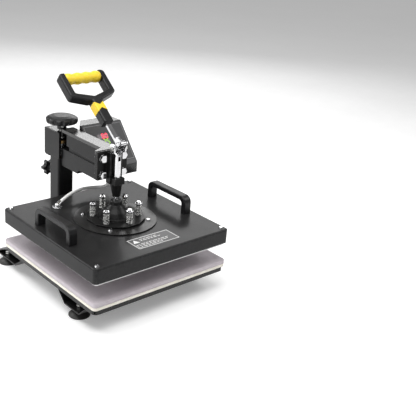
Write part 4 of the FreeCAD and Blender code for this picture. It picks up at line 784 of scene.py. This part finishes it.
def panel_sheet(lift_node):
    """The plane of a node's outer face on the sloping panel, measured from the panel's lower edge."""
    up = Vector((0, math.cos(PANEL_SLOPE), math.sin(PANEL_SLOPE)))
    across = Vector((1, 0, 0))
    out = across.cross(up)
    height = max(vertex.co.dot(out) for vertex in frame["nodes"][lift_node].data.vertices)
    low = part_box("front_panel")[0]
    base = Vector((PANEL_MIDDLE_X, low.y, low.z))
    return Sheet(base + out * (height - base.dot(out)), across, up)


def digit_shapes(x, y, width, height, lit, wanted):
    """The lit, or unlit, segments of one digit as pointed bars."""
    half = SEGMENT_HALF_WIDTH
    shapes = []
    for key, (across, up, flat) in SEGMENTS.items():
        if (key in lit) != wanted:
            continue
        centre_x, centre_y = x + across * width, y + up * height
        reach = (width if flat else height / 2) / 2 - SEGMENT_GAP
        points = [(-reach, 0), (-reach + half, -half), (reach - half, -half), (reach, 0),
                  (reach - half, half), (-reach + half, half)]
        if not flat:
            points = [(-b, a) for a, b in points]
        shapes.append([(centre_x + a, centre_y + b) for a, b in points])
    return shapes


def fit_display(name, node, finish_name, digits):
    """Seven-segment digits on a window, side by side and evenly spaced."""
    low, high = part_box(node)
    sheet = panel_sheet(node)
    foot = Vector((low.x, low.y, low.z)) - sheet.origin
    y_low = foot.dot(sheet.up) / MM
    height = (Vector((low.x, high.y, high.z)) - sheet.origin).dot(sheet.up) / MM - y_low
    x_low = (low.x - PANEL_MIDDLE_X) / MM
    pitch = (high.x - low.x) / MM / len(digits)
    size = (pitch - 2 * DIGIT_MARGIN_X, height - 2 * DIGIT_MARGIN_Y)
    lit, dark = [], []
    for i, digit in enumerate(digits):
        spot = (x_low + pitch * i + DIGIT_MARGIN_X, y_low + DIGIT_MARGIN_Y, *size)
        lit += digit_shapes(*spot, LIT[digit], True)
        dark += digit_shapes(*spot, LIT[digit], False)
    dress(raised(name + "_digits", sheet, lit, high=0.22), finish_name, "swing_arm")
    dress(raised(name + "_unlit", sheet, dark, high=0.12), "unlit_digits", "swing_arm")


def finish_panel():
    """The printed border, the small marks beside the windows, the lower strip and the two displays."""
    sheet = panel_sheet("front_panel")
    lines = border(*PANEL_BORDER, 1.3)
    left = PANEL_MARK_LEFT
    marks = [bar(left, y, left + length, y + PANEL_MARK_HEIGHT, 0.5) for y, length in PANEL_MARKS]
    dress(raised("panel_border", sheet, lines, high=0.25), "panel_line", "swing_arm")
    dress(raised("panel_marks", sheet, marks, high=0.2), "label_white", "swing_arm")
    strip = [bar(*PANEL_STRIP, 1.0)]
    dress(raised("panel_lower_strip", sheet, strip, high=0.35), "panel_strip", "swing_arm")
    fit_display("temperature", "temperature_display", "red_digits", " 80")
    fit_display("timer", "timer_display", "green_digits", " 25")


# ---------------------------------------------------------------- lever handle

LEVER_UP = Vector((0, 0.793, 0.609))
LEVER_OUT = Vector((0, -0.609, 0.793))
STEM_HALF_WIDTH, STEM_FRONT, STEM_BACK, STEM_CORNER = 13.5, 22.65, -1.35, 3.6
BAND_LOW, BAND_HIGH, BAND_POINT = 95.5, 122.5, 9.0        # up the lever, from its pivot
BAND_SUNK, BAND_PROUD = 0.3, 0.45
BAND_CORNER_STEPS, BAND_SIDE_STEPS, BAND_RISE_STEPS = 5, 8, 6


def stem_section(grow):
    """The stem's rounded outline, across and deep, grown outwards and divided along its flats."""
    half_depth = (STEM_FRONT - STEM_BACK) / 2
    flat_x, flat_v = STEM_HALF_WIDTH - STEM_CORNER, half_depth - STEM_CORNER
    radius = STEM_CORNER + grow
    section = []
    for quarter in range(4):
        centre_x, centre_v = flat_x * (1, -1, -1, 1)[quarter], flat_v * (1, 1, -1, -1)[quarter]
        for i in range(BAND_CORNER_STEPS + 1):
            angle = math.pi / 2 * (quarter + i / BAND_CORNER_STEPS)
            section.append((centre_x + radius * math.cos(angle), centre_v + radius * math.sin(angle)))
        next_x, next_v = flat_x * (-1, -1, 1, 1)[quarter], flat_v * (1, -1, -1, 1)[quarter]
        last_x, last_v = section[-1]
        for i in range(1, BAND_SIDE_STEPS):
            share = i / BAND_SIDE_STEPS
            if quarter % 2 == 0:
                section.append((last_x + (next_x - last_x) * share, last_v))
            else:
                section.append((last_x, last_v + (next_v - last_v) * share))
    return section


def chevron_band():
    """A yellow sleeve let into the handle's stem. Both edges run to a point at the middle of each face."""
    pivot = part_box("lever_pivot_pin")
    axis = Vector((0, (pivot[0].y + pivot[1].y) / 2, (pivot[0].z + pivot[1].z) / 2))
    middle_v = (STEM_FRONT + STEM_BACK) / 2

    def ring(section, edge):
        points = []
        for x, v in section:
            notch = max(0.0, 1 - abs(x) / STEM_HALF_WIDTH) * BAND_POINT
            u = BAND_HIGH - notch if edge > 0 else BAND_LOW + notch
            points.append(axis + MM * (x * Vector((1, 0, 0)) + u * LEVER_UP + (middle_v + v) * LEVER_OUT))
        return points

    inner, outer = stem_section(-BAND_SUNK), stem_section(BAND_PROUD)
    low_outer, high_outer = ring(outer, -1), ring(outer, 1)
    rings = [ring(inner, -1)]
    for i in range(BAND_RISE_STEPS + 1):
        rings.append([a.lerp(b, i / BAND_RISE_STEPS) for a, b in zip(low_outer, high_outer)])
    rings.append(ring(inner, 1))
    rings.append(ring(inner, -1))
    dress(loft("chevron_band", rings, smooth=False, caps=False), "yellow_rubber", "lever")


SCREW_PROFILE = (        # radius, and reach from the knob's axis
    (0.0030, 0.0095), (0.0030, 0.0134), (0.0026, 0.0139), (0.0016, 0.0139), (0.0014, 0.0120),
)
SCREW_SIDES = 18
SCREW_HEIGHT = 0.0075           # up the knob's neck
UP = Vector((0, 0, 1))


def knob_set_screw():
    """The small screw in the pressure knob's neck."""
    low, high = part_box("pressure_knob")
    place = Vector(((low.x + high.x) / 2, (low.y + high.y) / 2, low.z + SCREW_HEIGHT))
    out = Vector((-0.45, -0.89, 0)).normalized()
    side = UP.cross(out)
    rings = []
    for radius, reach in SCREW_PROFILE:
        rings.append([place + out * reach + radius * (math.cos(a) * side + math.sin(a) * UP)
                      for a in (2 * math.pi * k / SCREW_SIDES for k in range(SCREW_SIDES))])
    dress(loft("knob_set_screw", rings), "zinc_plate", "pressure_knob_and_screw")


# ---------------------------------------------------------------- the whole press

aim_camera()
light_studio()
lay_floor(FINISH["pale_floor"])
dress_cad_nodes()
run_cable()
lay_pads()
wind_springs()
stick_label()
finish_panel()
chevron_band()
knob_set_screw()
